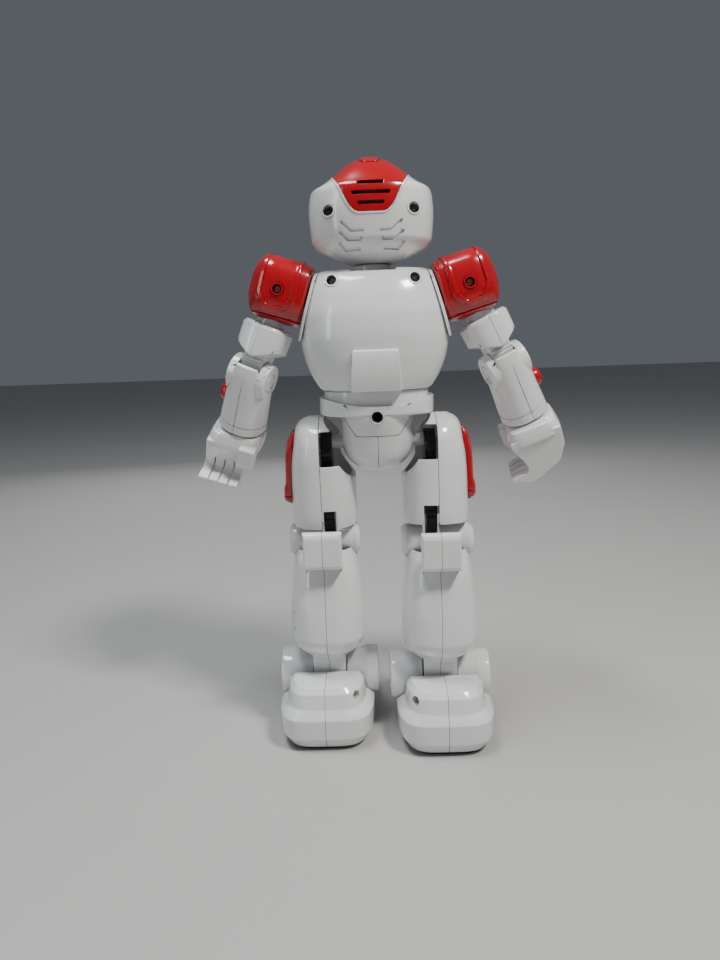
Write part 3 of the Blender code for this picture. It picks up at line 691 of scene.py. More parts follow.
HEAD_RINGS = [(218.6, 0, 1, 9, 10), (220.6, 0, 1, 14.5, 15), (223, 0, 1, 20, 19),
              (225.8, 0, 1, 25, 22.5), (228.5, 0, 1, 26.6, 24.2), (240, 0, 1, 27.5, 25.5),
              (246.2, 0, 1, 27, 25), (248.8, 0, 1, 26.2, 24.4), (251.4, 0, 1, 21.8, 22.4),
              (255.3, 0, 1, 16.2, 18.9), (258.8, 0, 1, 12, 14.6), (261.5, 0, 1, 7.6, 9.4),
              (262.9, 0, 1, 3, 4)]
CAP_OUTLINE = [(-16.8, 255.6), (-15.2, 252.2), (-13, 248.6), (-9.8, 241.4), (-6.6, 237.6), (6.6, 237.6),
               (9.8, 241.4), (13, 248.6), (15.2, 252.2), (16.8, 255.6), (16.8, 272), (-16.8, 272)]
CAP_FRONT = -12
SOUND_SLOTS = {249.3: 5.4, 245.2: 7.9, 241.1: 5.3}     # height: half width
SLOT_HALF = 0.72
BUTTON_OUTLINE = [(-4.7, 1), (-4.7, 9.8), (-2.8, 15), (2.8, 15), (4.7, 9.8), (4.7, 1),
                  (3.2, -1.6), (-3.2, -1.6)]
CHEVRONS = [[(12.9, 234.4), (8.6, 230.4), (3.3, 230.4)], [(13.5, 230.3), (9.9, 227), (4.1, 227)],
            [(13.8, 226.3), (10.8, 223.4), (4.9, 223.6)]]
CHEVRON_WIDTH = 1.15
HEAD_SCREW = (18, 239.2)
VISOR_OUTLINE = [(-15, 229.5), (15, 229.5), (20, 233.5), (21, 246), (16.5, 251), (-16.5, 251),
                 (-21, 246), (-20, 233.5)]
EYE = (9.5, 240.5)
MOUTH_LINE = [(-4.6, 226.6), (0, 225.6), (4.6, 226.6)]
EYE_RADIUS = 5


def spread(outline, amount):
    """An outline moved outward along its normals, for an outline listed anticlockwise or clockwise."""
    area = sum(a[0] * b[1] - b[0] * a[1] for a, b in zip(outline, outline[1:] + outline[:1]))
    turn = 1 if area > 0 else -1
    result = []
    count = len(outline)
    for i in range(count):
        before, here, after = (Vector(outline[(i + k) % count]) for k in (-1, 0, 1))
        first = (here - before).normalized()
        second = (after - here).normalized()
        along = (first + second).normalized()
        normal = Vector((along.y, -along.x)) * turn
        result.append(tuple(here + normal * amount / max(0.5, along.dot(first))))
    return result


def head_cap_prism(amount, radius=3.2):
    outline = rounded(CAP_OUTLINE, radius)
    return prism(BODIES["head"], spread(outline, amount), CAP_FRONT - amount, 40)


def build_head():
    head = BODIES["head"]
    cavity = loft(head, grown(HEAD_RINGS, -WALL, WALL, -WALL), count=64, steps=3)
    neck_hole = rod(head, (0, 0, 212), (0, 0, 226), 6.6)
    button_hole = prism(head, rounded(spread(BUTTON_OUTLINE, 0.35), 0.8), 250, 275, "Z")

    back = loft(head, HEAD_RINGS, count=112, steps=6)
    rim = carve(loft(head, grown(HEAD_RINGS, 0.34, 0, 0.34), count=112, steps=6),
                keeps(head_cap_prism(0.85)))
    skin = loft(head, grown(HEAD_RINGS, 0.3), count=112, steps=6)
    holes = []
    for x in (-HEAD_SCREW[0], HEAD_SCREW[0]):
        tag = "right" if x < 0 else "left"
        holes.append(well(head, "head_well_" + tag, (x, 21, HEAD_SCREW[1]), (0, 1, 0), 9, skin))
    grooves = []
    for points in CHEVRONS:
        for side in (1, -1):
            line = stroked([(side * x, z) for x, z in points], CHEVRON_WIDTH)
            grooves.append(prism(head, rounded(line, 0.35, 3), 8, 40))
    engraved = engraving(head, grooves, HEAD_RINGS, 1, count=112, steps=6)
    carve(back, joins(rim) + cuts(head_cap_prism(0.1), cavity, engraved)
          + keeps(half_space(head, "Y", 1)) + cuts(neck_hole, *holes))
    done(back, "head_rear", head, ["head_back_shell"], edge=0.18)

    front = loft(head, HEAD_RINGS, count=96, steps=5)
    visor_hole = prism(head, spread(rounded(VISOR_OUTLINE, 4), 0.12), -40, -8)
    fore_rim = carve(loft(head, grown(HEAD_RINGS, 0.34, 0, 0.34), count=96, steps=5),
                     keeps(head_cap_prism(0.85)))
    lip = rounded(stroked(MOUTH_LINE, 0.9), 0.35, 3)
    mouth = engraving(head, [prism(head, lip, -40, -8)], HEAD_RINGS, 0.7, count=96, steps=5)
    carve(front, joins(fore_rim) + cuts(head_cap_prism(0.1), cavity, mouth)
          + keeps(half_space(head, "Y", -1)) + cuts(visor_hole, neck_hole))
    done(front, "head_front", head, ["head_front_shell"])

    cap = loft(head, grown(HEAD_RINGS, 0.2, 0, 0.2), count=112, steps=6)
    slots = []
    for height, half in SOUND_SLOTS.items():
        low, high = height - SLOT_HALF, height + SLOT_HALF
        corners = [(-half, low), (half, low), (half, high), (-half, high)]
        slots.append(prism(head, rounded(corners, 1.2), 10, 40))
    carve(cap, keeps(head_cap_prism(0)) + cuts(cavity, merged(slots), button_hole))
    done(cap, "crown_cap", head, ["head_cap"], slot="red_plastic")

    visor = loft(head, grown(HEAD_RINGS, -0.15, 0, 0), count=96, steps=5)
    eye_holes = [rod(head, (x, -40, EYE[1]), (x, -10, EYE[1]), EYE_RADIUS + 0.1)
                 for x in (-EYE[0], EYE[0])]
    carve(visor, keeps(prism(head, rounded(VISOR_OUTLINE, 4), -40, -8))
          + cuts(cavity, *eye_holes))
    done(visor, "visor", head, ["face_visor"], slot="visor_black")

    for x, tag in ((EYE[0], "left"), (-EYE[0], "right")):
        profile = [(0, 0), (3.9, 0), (3.9, 4), (3.4, 4.9), (2.2, 5.5), (0, 5.8)]
        lens = revolve(head, profile, (x, -19, EYE[1]), (x, -30, EYE[1]))
        done(lens, "eye_lens_" + tag, head, ["eye_" + tag], slot="light_lens", edge=0.1)
        ring = revolve(head, [(4, 0), (EYE_RADIUS, 0), (EYE_RADIUS, 4.6), (4.7, 5),
                                                 (4.3, 4.8), (4, 4.2), (4, 0)],
                       (x, -19, EYE[1]), (x, -30, EYE[1]))
        done(ring, "eye_ring_" + tag, head, slot="grey_plastic", edge=0.1)


def build_head_button():
    body = BODIES["head_button"]
    skin = loft(body, grown(HEAD_RINGS, 0.8, 0, 0.6), count=96, steps=5)
    button = prism(body, rounded(BUTTON_OUTLINE, 0.8), 254.5, 275, "Z")
    carve(button, keeps(skin))
    done(button, "crown_button", body, ["head_button"], slot="red_plastic", edge=0.3)


# ---------------------------------------------------------------- torso

TORSO_RINGS = [(163.6, 0, 1, 24.9, 20.8), (165, 0, 1, 26.2, 22), (172, 0, 1, 30.2, 24.5),
               (180, 0, 1, 32.8, 26.3), (188, 0, 1, 33.7, 27), (196, 0, 1, 33.4, 26.5),
               (204, 0, 1, 31.6, 24.5), (210, 0, 1, 29.6, 22), (214.2, 0, 1, 27.2, 18.8),
               (216, 0, 1, 24, 15.5)]
ARMHOLE_X = 30.7
ARMHOLE_Z = 198.5
ARMHOLE_TILT = 16.5
FLANGE = 1.5
NOTCH_OUTLINE = [(-11.2, 218), (-9.6, 214.8), (9.6, 214.8), (11.2, 218)]
BUMP_SECTIONS = [(163.65, 12.3, 18, 10.5, 26.6), (168, 11.8, 20, 10.4, 28.2), (173, 11.1, 22, 10.2, 29.2),
                 (178, 10.4, 23, 9.9, 29.2), (180.9, 9.9, 24, 9.7, 28.7), (181.5, 9.6, 24, 9.4, 28)]
CHEST_OUTLINE = [(-15, 207), (15, 207), (12, 191), (5, 185), (-5, 185), (-12, 191)]
CHEST_BUTTON_Z = 198
BACK_SCREW = (18, 211.4)


def armhole_slab(side, outer, inner):
    """The layer beside the sloping side wall, between two depths under its plane."""
    slab = block(BODIES["torso"], (0, -60, -60), (1, 60, 60))
    lean = Matrix.Rotation(math.radians(-side * ARMHOLE_TILT), 4, "Y")
    for vertex in slab.data.vertices:
        local = BODIES["torso"].to_world.inverted() @ vertex.co
        local.x = side * (-inner if local.x < 0.5 else -outer)
        local = lean @ local + Vector((side * ARMHOLE_X, 0, ARMHOLE_Z))
        vertex.co = BODIES["torso"].to_world @ local
    slab.data.update()
    face_outward(slab.data)
    return slab


def shoulder_point(side, reach):
    """A point on the swing axis in the trunk's frame."""
    shoulder = BODIES["shoulder_left" if side > 0 else "shoulder_right"]
    return BODIES["torso"].to_world.inverted() @ (shoulder.to_world @ Vector((side * reach, 0, 0)))


def build_torso():
    torso = BODIES["torso"]
    slabs = [armhole_slab(side, -40, FLANGE + 0.1) for side in (1, -1)]
    cavity = loft(torso, grown(TORSO_RINGS, -WALL, -1, -WALL), count=64, steps=3)
    neck_hole = rod(torso, (0, 0, 205), (0, 0, 222), 8.7)
    skin = loft(torso, grown(TORSO_RINGS, 0.25), count=112, steps=6)
    removed = cuts(cavity, *slabs, neck_hole)

    back = loft(torso, TORSO_RINGS, count=128, steps=6, low=0.5)
    sections = [[(-a, b, z), (a, b, z), (c, d, z), (-c, d, z)] for z, a, b, c, d in BUMP_SECTIONS]
    bump = section_loft(torso, sections)
    carve(back, joins(bump) + removed)
    holes = []
    for x in (-BACK_SCREW[0], BACK_SCREW[0]):
        tag = "right" if x < 0 else "left"
        holes.append(well(torso, "back_well_" + tag, (x, 17, BACK_SCREW[1]), (0, 1, 0), 8, skin))
    notch = prism(torso, rounded(NOTCH_OUTLINE, 0.5), 4, 40)
    carve(back, keeps(half_space(torso, "Y", 1)) + cuts(notch, *holes))
    done(back, "torso_rear", torso, ["torso_back_shell"])

    front = loft(torso, TORSO_RINGS, count=112, steps=5, low=0.5)
    chest_hole = rod(torso, (0, -40, CHEST_BUTTON_Z), (0, -12, CHEST_BUTTON_Z), 5)
    waistline = [prism(torso, stroked([(-40, 176), (40, 176)], 0.5), -40, -5)]
    panel = engraving(torso, waistline, TORSO_RINGS, 0.4, count=112, steps=5)
    carve(front, removed + keeps(half_space(torso, "Y", -1)) + cuts(panel, chest_hole))
    done(front, "torso_front", torso, ["torso_front_shell"])

    for side, tag in ((1, "left"), (-1, "right")):
        wide = [(z, x, y, a + 1.7, b + 0.3) for z, x, y, a, b in TORSO_RINGS]
        flange = loft(torso, wide, count=112, steps=5)
        shaft = rod(torso, shoulder_point(side, -30), shoulder_point(side, 4), 5.3)
        carve(flange, keeps(armhole_slab(side, 0.05, FLANGE),
                            block(torso, (-60, -60, 186.2), (60, 60, 215.2))) + cuts(shaft))
        done(flange, "armhole_flange_" + tag, torso, edge=0.3)

    plate = loft(torso, grown(TORSO_RINGS, 1), count=112, steps=5)
    seat = loft(torso, grown(TORSO_RINGS, 0.08), count=112, steps=5)
    carve(plate, keeps(prism(torso, rounded(CHEST_OUTLINE, 2.2), -60, -8))
          + cuts(seat, chest_hole))
    done(plate, "chest_badge", torso, ["chest_plate"], slot="red_plastic", edge=0.35)
    neck_profile = [(0, 223.5), (5.4, 223.5), (5.6, 218.6), (8, 218.4), (8.5, 217.9), (8.5, 216),
                    (8.2, 215.7), (8.2, 208), (0, 208)]
    neck = revolve(torso, [(r, z - 200) for r, z in neck_profile], (0, 0, 200), (0, 0, 201), 64)
    done(neck, "neck_ring", torso, ["neck_post"])


def build_chest_button():
    body = BODIES["chest_button"]
    start, toward = (0, -20, CHEST_BUTTON_Z), (0, -30, CHEST_BUTTON_Z)
    profile = [(0, 0), (4.6, 0), (4.6, 6.6), (4.2, 7.2), (3.4, 7.3), (3.2, 7), (1.8, 7.2), (0, 7.3)]
    key = revolve(body, profile, start, toward)
    done(key, "chest_key", body, ["chest_button"], slot="light_lens", edge=0.12)


# ---------------------------------------------------------------- waist and pelvis

PELVIS_RINGS = [(126.2, 0, 1, 5.5, 6.5), (127.4, 0, 1, 9, 9.6), (129.4, 0, 1, 12, 12.6),
                (132.4, 0, 1, 14.6, 15), (136.4, 0, 1, 16.2, 16.6), (142, 0, 1, 16.9, 18.4),
                (147.5, 0, 1, 17, 20.4), (151.6, 0, 1, 17, 21.4)]
BAND_RINGS = [(152.3, 0, 1, 25.6, 21.4), (153.4, 0, 1, 26.3, 22.1), (160.2, 0, 1, 26.4, 22.2)]
BAND_DIP = [(x, 156.8 + 4.2 * (x / 26) ** 2) for x in range(-30, 31, 4)] + [(30, 170), (-30, 170)]
TONGUE_OUTLINE = [(-15.4, 154.6), (-15.4, 152.2), (-9.7, 143.4), (9.7, 143.4), (15.4, 152.2), (15.4, 154.6)]
SOCKET_Z = 152.2


def build_pelvis():
    torso = BODIES["torso"]
    collar_rings = [(156, 0, 1, 24.1, 20), (163.3, 0, 1, 24.1, 20)]
    done(loft(torso, collar_rings, count=96, steps=2), "waist_ring", torso, ["waist_collar"])

    socket_hole = rod(torso, (0, 12, SOCKET_Z), (0, 40, SOCKET_Z), 3.05)
    tongue = loft(torso, [(143, 0, 1, 16.95, 18.8), (147.5, 0, 1, 17, 20.5), (152.2, 0, 1, 17.05, 21.9),
                                    (154.8, 0, 1, 17.2, 22.1)], count=96)
    tongue_core = loft(torso, [(140, 0, 1, 15, 15.4), (160, 0, 1, 15, 15.4)], count=64)
    carve(tongue, keeps(prism(torso, rounded(TONGUE_OUTLINE, 0.9), 4, 40))
          + cuts(tongue_core))
    covers = (("band_rear", "pelvis_rear_cover", 1), ("band_front", "pelvis_front_cover", -1))
    for name, node, facing in covers:
        band = loft(torso, BAND_RINGS, count=112, steps=3)
        hollow = loft(torso, grown(BAND_RINGS, -WALL, -2, 2), count=96, steps=2)
        steps = cuts(hollow) + keeps(half_space(torso, "Y", facing))
        if facing == 1:
            dip = prism(torso, BAND_DIP, 3, 40)
            steps += joins(tongue) + cuts(dip, socket_hole)
        carve(band, steps)
        done(band, name, torso, [node], edge=0.3)

    ring = revolve(torso, [(2.5, 0), (3, 0), (3, 7.4), (2.8, 7.7), (2.6, 7.6), (2.5, 7.2),
                                          (2.5, 0)], (0, 15.8, SOCKET_Z), (0, 30, SOCKET_Z))
    done(ring, "socket_ring", torso, edge=0.05)
    barrel = revolve(torso, [(0, 0), (2.44, 0), (2.44, 6.8), (1.95, 6.8), (1.8, 6.4), (1.8, 2),
                                              (0.5, 2), (0.5, 5.6), (0.3, 5.9), (0, 6)],
                     (0, 15.6, SOCKET_Z), (0, 30, SOCKET_Z))
    done(barrel, "socket_barrel", torso, ["charging_socket"], slot="black_plastic", edge=0.05)

    opening = prism(torso, rounded(spread(TONGUE_OUTLINE, 0.18), 0.9), 4, 40)
    cavity = loft(torso, grown(PELVIS_RINGS, -WALL, WALL, 3), count=64, steps=3)
    shaft = rod(torso, (-40, 0, 139), (40, 0, 139), 3.2)
    for side, tag in ((1, "left"), (-1, "right")):
        half = loft(torso, PELVIS_RINGS, count=112, steps=5)
        carve(half, cuts(cavity, opening, shaft) + keeps(half_space(torso, "X", side)))
        done(half, "hip_shell_" + tag, torso, ["pelvis_shell_" + tag])
    hip_reach = (BODIES["thigh_left"].matrix.translation - torso.matrix.translation).x / MM + 1.5
    pegs = rod(torso, (-hip_reach, 0, 139), (hip_reach, 0, 139), 3.05, edge=0.4)
    done(pegs, "hip_pegs", torso, ["hip_shaft"], edge=0)


# ---------------------------------------------------------------- legs

def flip(outline, side):
    return [(side * a, b) for a, b in outline]


def beside(rings, side):
    return [(z, side * x, y, half_x, half_y) for z, x, y, half_x, half_y in rings]


def side_block(body, side, low, high):
    """A box given for the left side and mirrored for the right one."""
    first, second = sorted((side * low[0], side * high[0]))
    return block(body, (first, *low[1:]), (second, *high[1:]))


def crisp(rings, gap=0.35):
    """Extra rings close to each bend, so that bands between bends stay flat."""
    result = [rings[0]]
    for before, here, after in zip(rings, rings[1:], rings[2:]):
        for other in (before, after):
            share = min(0.3, gap / max(0.01, abs(other[0] - here[0])))
            result.append(tuple(h + (o - h) * share for h, o in zip(here, other)))
    result.append(rings[-1])
    return result


THIGH_RINGS = [(-38.5, -0.6, 0, 15.2, 16.4), (-32, -0.6, 0, 15.6, 17), (-20, -0.6, 0, 15.6, 17.4),
               (-8, -0.6, 0, 15, 17.5), (0, -0.8, 0, 13.9, 16.8), (5, -0.6, 0, 12.9, 14.8),
               (8.5, -0.2, 0, 11.4, 11.6), (11, 0, 0, 8.9, 6.8), (12.6, 0, 0, 5.5, 2.5)]
PAD_RINGS = [(-28.5, 14.9, 0, 1.8, 5), (-26, 15.3, 0, 3.3, 7.5), (-22, 15.1, 0, 3.4, 8),
             (-18, 14.8, 0, 2.8, 8), (-8, 14.4, 0, 2.8, 7.8), (0, 13.3, 0, 2.8, 7.4),
             (6, 12, 0, 1.6, 5.5)]
LINK_OUTLINE = [(-4.5, 3), (-2.5, 5), (2.5, 5), (5.5, 3.5), (8.5, -3), (8.5, -37.5), (4.6, -46.5),
                (3.6, -51.3), (1.6, -52.7), (-1.6, -52.7), (-3.6, -51.3), (-4.6, -46.5)]
HOOD_CUT = [(-30, 30), (-2.4, 30), (-2.4, 10.6), (-8.4, 3.4), (-8.6, 0), (-8.6, -8.2), (-11.5, -12.4),
            (-15, -15.8), (-30, -15.8)]
KNEE_DROP = 48


def build_thighs():
    for tag, side in SIDES.items():
        thigh = BODIES["thigh" + tag]
        rings = beside(THIGH_RINGS, side)
        hollow = loft(thigh, grown(rings, -WALL, -2, -WALL), count=72, steps=3)
        outer = loft(thigh, rings, count=112)
        carve(outer, cuts(hollow) + keeps(half_space(thigh, "X", side)))
        done(outer, "thigh_outer" + tag, thigh, ["thigh_outer_shell" + tag], edge=0.3)

        inner = loft(thigh, rings, count=112)
        hip = prism(thigh, rounded(flip(HOOD_CUT, side), 1.2), -40, 40)
        window = prism(thigh, rounded(
            flip([(-12, -8.4), (0, -8.4), (0, 7.2), (-12, 7.2)], side), 1), 2, 40)
        slot = side_block(thigh, side, (-6.9, 2, -60), (0, 40, -29.5))
        carve(inner, cuts(hollow) + keeps(half_space(thigh, "X", -side))
              + cuts(hip, window, slot))
        done(inner, "thigh_inner" + tag, thigh, ["thigh_inner_shell" + tag], edge=0.3)

        pad = loft(thigh, beside(PAD_RINGS, side), power=2.8, count=96, low=0.8, high=0.8)
        seat = loft(thigh, grown(rings, 0.25), count=96)
        lip = prism(thigh, [(-30, -24), (30, -24), (30, -24.5), (-30, -24.5)],
                    side * 15 - 30, side * 15 + 30, "X")
        lip_core = loft(thigh, grown(beside(PAD_RINGS, side), -0.35), power=2.8, count=96)
        carve(pad, cuts(seat, carve(lip, cuts(lip_core))))
        done(pad, "side_pad" + tag, thigh, ["thigh_pad" + tag], slot="red_plastic", edge=0.3)

        link = prism(thigh, rounded(LINK_OUTLINE, 1.2, 3),
                     *sorted((-side * 5.4, -side * 0.2)), "X")
        ribs = [block(thigh, (-9, 7.9, z), (9, 12, z + 0.7)) for z in range(-36, -2, 3)]
        carve(link, cuts(rod(thigh, (-20, 0, 0), (20, 0, 0), 3.3),
                         rod(thigh, (-20, 0, -KNEE_DROP), (20, 0, -KNEE_DROP), 2.5), merged(ribs)))
        done(link, "link_bar" + tag, thigh, ["thigh_link" + tag], slot="black_plastic", edge=0.2)


SHIN_RINGS = [(-58.6, 0, 2, 7.6, 9.4), (-56.6, 0, 2.1, 10.1, 11.8), (-54.5, 0, 2.2, 12.6, 14.3),
              (-52.2, 0, 2.35, 15.1, 16.9), (-49.6, 0, 2.5, 17, 19), (-45, 0, 3, 18.3, 20.2),
              (-33, 0, 3, 17.8, 20), (-20, 0, 2.5, 16.8, 18.5), (-8, 0, 1.5, 15.2, 16),
              (-3, 0, 1, 13.8, 13.5)]
GUARD_OUTLINE = [(22.6, 9.2), (26, 8.6), (26.8, 6.4), (26.4, -7), (25.2, -8.4), (14, -11),
                 (14, -8), (19.4, -6), (19.6, 2)]
ANKLE_TONGUE = [(-8, -51), (10.8, -51), (10.8, -64), (10.4, -69), (6, -71.4), (2.6, -72.6),
                (-2.6, -72.6), (-4.4, -70), (-4.6, -65), (-8, -60.5)]
GUARD_PLAN = [(-9, 8), (9, 8), (9, 25.2), (7.5, 27.5), (-7.5, 27.5), (-9, 25.2)]
ANKLE_DROP = 68.5
DRUM_RADIUS = 7.8
DRUM_HALF = 16.9
SLOT_FLOOR = -5.7


def build_shins():
    for tag, side in SIDES.items():
        shin = BODIES["shin" + tag]
        skin = loft(shin, SHIN_RINGS, count=112)
        guard = prism(shin, rounded(GUARD_OUTLINE, 0.8, 3), -9, 9, "X")
        carve(guard, keeps(prism(shin, rounded(GUARD_PLAN, 0.9, 3), -20, 20, "Z")))
        hollow = loft(shin, grown(SHIN_RINGS, -WALL, 3, 5), count=72, steps=3)
        seat = rod(shin, (-40, 0, 0), (40, 0, 0), DRUM_RADIUS + 0.5, count=72)
        tongue = prism(shin, rounded(ANKLE_TONGUE, 1, 3), -8, 8, "X")
        eye = rod(shin, (-20, 0, -ANKLE_DROP), (20, 0, -ANKLE_DROP), 2.5)
        ring = revolve(shin, [(3.9, -3), (4.15, -3), (4.15, 3), (3.9, 3), (3.9, -3)],
                       (side * 14.8, 12, -37), (side * 24.4, 22, -36.4), 40)
        carve(skin, joins(guard) + cuts(hollow, seat) + joins(tongue) + cuts(eye, ring))
        halves(skin, shin, "shin", ("outer", "inner"), tag, "X", side, "white_plastic", 0.2)

        profile = [(0, -DRUM_HALF), (6.2, -DRUM_HALF), (DRUM_RADIUS, -DRUM_HALF + 1.6),
                   (DRUM_RADIUS, DRUM_HALF - 1.6), (6.2, DRUM_HALF), (0, DRUM_HALF)]
        drum = revolve(shin, profile, (0, 0, 0), (1, 0, 0), 72)
        pin = rod(shin, (-9, 0, 0), (9, 0, 0), 2.1)
        dots = []
        for end in (1, -1):
            dots.append(revolve(shin, [(0, 0), (2.6, 0), (2.6, 3), (0, 3)],
                                (end * (DRUM_HALF - 0.5), 0, 0), (end * 40, 0, 0), 32))
            screw(shin, "knee_screw" + tag + ("_a" if end == 1 else "_b"), (end * (DRUM_HALF - 1.45), 0, 0),
                  (end, 0, 0), 1.5)
        wells = [rod(shin, (end * (DRUM_HALF - 1.5), 0, 0), (end * 30, 0, 0), 1.9) for end in (1, -1)]
        carve(drum, cuts(side_block(shin, side, (-7, -20, SLOT_FLOOR), (0.9, 20, 20)))
              + joins(pin) + cuts(merged(dots)) + cuts(merged(wells)))
        done(drum, "knee_barrel" + tag, shin, ["knee_drum" + tag], edge=0.25)


FOOT_RINGS = [(-24, 0, -3, 19.8, 35.6), (-19, 0, -3, 22.6, 38.6), (-9.6, 0, -3, 23, 39),
              (-7, 0, -3, 21, 37.4), (-5.2, 0, -3, 19, 36.2), (1.4, 0, -3, 18.2, 35),
              (4, 0, -3, 15.8, 32.6)]
FOOT_POWER = 4.4
FOOT_OUTSET = 1.4
TOE_OUTLINE = [(-12.1, 12), (-12.1, 1), (-34, -7.5), (-60, -14), (-60, 12)]
ANKLE_HALF = 24.2
WHEEL_Y = 21
FOOT_SCREW = (13.6, 27.4, -0.6)


def build_feet():
    for tag, side in SIDES.items():
        foot = BODIES["foot" + tag]
        centre = side * FOOT_OUTSET
        rings = [(z, centre, y, a, b) for z, _, y, a, b in FOOT_RINGS]
        skin = loft(foot, crisp(rings), power=FOOT_POWER, count=128, steps=1)
        toe = prism(foot, rounded(TOE_OUTLINE, 1.5, 4), -40, 40, "X")
        hollow = loft(foot, grown(rings, -WALL - 0.6, -5, -WALL), power=FOOT_POWER, count=72, steps=1)
        inner_toe = prism(foot, [(y, z - 1.6 * WALL) for y, z in TOE_OUTLINE], -40, 40, "X")
        carve(hollow, cuts(inner_toe))
        saddle = rod(foot, (-40, 0, 0), (40, 0, 0), 12.1, count=72)
        above = block(foot, (-40, -12.1, 0), (40, 12.1, 30))
        x, y, z = FOOT_SCREW
        place = Vector((centre - side * x, y, z))
        outward = Vector((-side * 0.72, 0.66, 0.14)).normalized()
        hole = rod(foot, place - outward * 1.5, place + outward * 20, 2.2)
        carve(skin, cuts(toe, hollow, saddle, above, hole))
        screw(foot, "heel_screw" + tag, place - outward * 2.6, outward, 1.7)
        cup = revolve(foot, [(0, -5), (2.9, -5), (2.9, -0.9), (2.15, -0.9), (2.1, -3.8), (0, -3.8)],
                      place, place + outward, 40)
        done(cup, "heel_cup" + tag, foot, edge=0.1)
        halves(skin, foot, "foot", ("outer", "inner"), tag, "X", side, "white_plastic", 0.2, centre)

        inner = [(10.3, ANKLE_HALF), (11.2, ANKLE_HALF - 0.3), (11.7, ANKLE_HALF - 1.2), (11.7, 18.8),
                 (11.5, 17.6), (9.4, 10.4), (9.2, 8.6)]
        profile = [(0, ANKLE_HALF - 0.8), (9, ANKLE_HALF - 0.8), (9.3, ANKLE_HALF)] + inner
        profile = profile + [(r, -x) for r, x in reversed(profile)]
        drum = revolve(foot, [(r, -x) for r, x in profile], (0, 0, 0), (1, 0, 0), 80)
        pin = rod(foot, (-11, 0, 0), (11, 0, 0), 2.1)
        carve(drum, cuts(block(foot, (-8.5, -20, SLOT_FLOOR), (8.5, 20, 20))) + joins(pin))
        done(drum, "ankle_bosses" + tag, foot, ["ankle_drum" + tag], edge=0.25)

        floor = -foot.matrix.translation.z / MM
        sole_rings = [(floor, centre, -3, 17.6, 34), (floor + 1.4, centre, -3, 18.2, 34.6)]
        sole = loft(foot, sole_rings, power=FOOT_POWER, count=96, steps=2)
        slot = block(foot, (-3.6, WHEEL_Y - 7.5, -40), (3.6, WHEEL_Y + 7.5, 0))
        carve(sole, cuts(slot))
        done(sole, "sole_pad" + tag, foot, ["foot_sole" + tag], slot="rubber", edge=0.2)


# ---------------------------------------------------------------- arms

SHOULDER_RINGS = [(-12.4, 0, 0, 12.8, 13), (-11, 0, 0, 13.9, 14.2), (-3, 0, 0, 14.5, 14.8),
                  (4, 0, 0, 14.5, 14.8), (9.5, 0, 0, 13.4, 13.4), (12.2, 0, 0, 10.6, 10.6),
                  (13.6, 0, 0, 7.6, 7.6)]
SHOULDER_RIDGE = [(8.4, 24), (8.4, -2.5), (5, -8.4), (-3.2, -8.4), (-6.9, -3.5), (-6.9, 24)]
LEAN = {"_left": 6, "_right": 9.5}            # cant of each arm at rest, in degrees


def build_shoulders():
    for tag, side in SIDES.items():
        body = BODIES["shoulder" + tag]
        sideways = Matrix.Rotation(math.radians(90 * side), 4, "Y")
        look = {"power": 3, "count": 128, "turn": sideways}
        cant = math.radians(LEAN[tag])
        arm_hole = rod(body, (0, 0, 0), (side * 24 * math.sin(cant), 0, -24 * math.cos(cant)), 8.4)
        shaft = rod(body, (-side * 24, 0, 0), (-side * 8, 0, 0), 5.3)
        hollow = loft(body, grown(SHOULDER_RINGS, -WALL, WALL, -WALL), power=3, count=64,
                      steps=3, turn=sideways)
        ridge = loft(body, grown(SHOULDER_RINGS, 0.75, 0, 0.4), steps=6, **look)
        line = rounded(stroked(flip(SHOULDER_RIDGE, side), 2), 1.4, 4)
        carve(ridge, keeps(prism(body, line, -40, 40)))
        well_skin = loft(body, grown(SHOULDER_RINGS, 0.45), steps=6, **look)
        holes = [well(body, "shoulder_well" + tag, (side * 0.5, 14.8, 0), (0, 1, 0), 3.8, well_skin,
                      "red_plastic", 2.1)]
        shell = loft(body, SHOULDER_RINGS, steps=6, high=1, **look)
        rim = block(body, (-40, -40, -12), (40, 40, -11.5))
        core = loft(body, grown(SHOULDER_RINGS, -0.35), steps=6, **look)
        carve(shell, joins(ridge) + cuts(carve(rim, cuts(core)), hollow, arm_hole, shaft, *holes))
        halves(shell, body, "shoulder", ("rear", "front"), tag, "Y", 1, "red_plastic", 0.4)


CUFF_RINGS = [(-32.2, 0, 0, 10.7, 10.7), (-30, 0, 0, 11, 11), (-18, 0, 0, 11.4, 11.4),
              (-16.4, 0, 0, 10.9, 10.9)]
CUFF_OUTLINE = [(-14, -24.8), (-9.5, -27.2), (0, -32), (9.5, -27.2), (14, -24.8), (14, -10), (-14, -10)]
LUG_OUTLINE = [(-6.1, -24), (6.1, -24), (6.1, -36), (4.6, -39), (4.6, -43), (2.4, -45.6), (-2.4, -45.6),
               (-4.6, -43), (-4.6, -39), (-6.1, -36)]
LUG_HALF = 5.2
ELBOW_DROP = 41


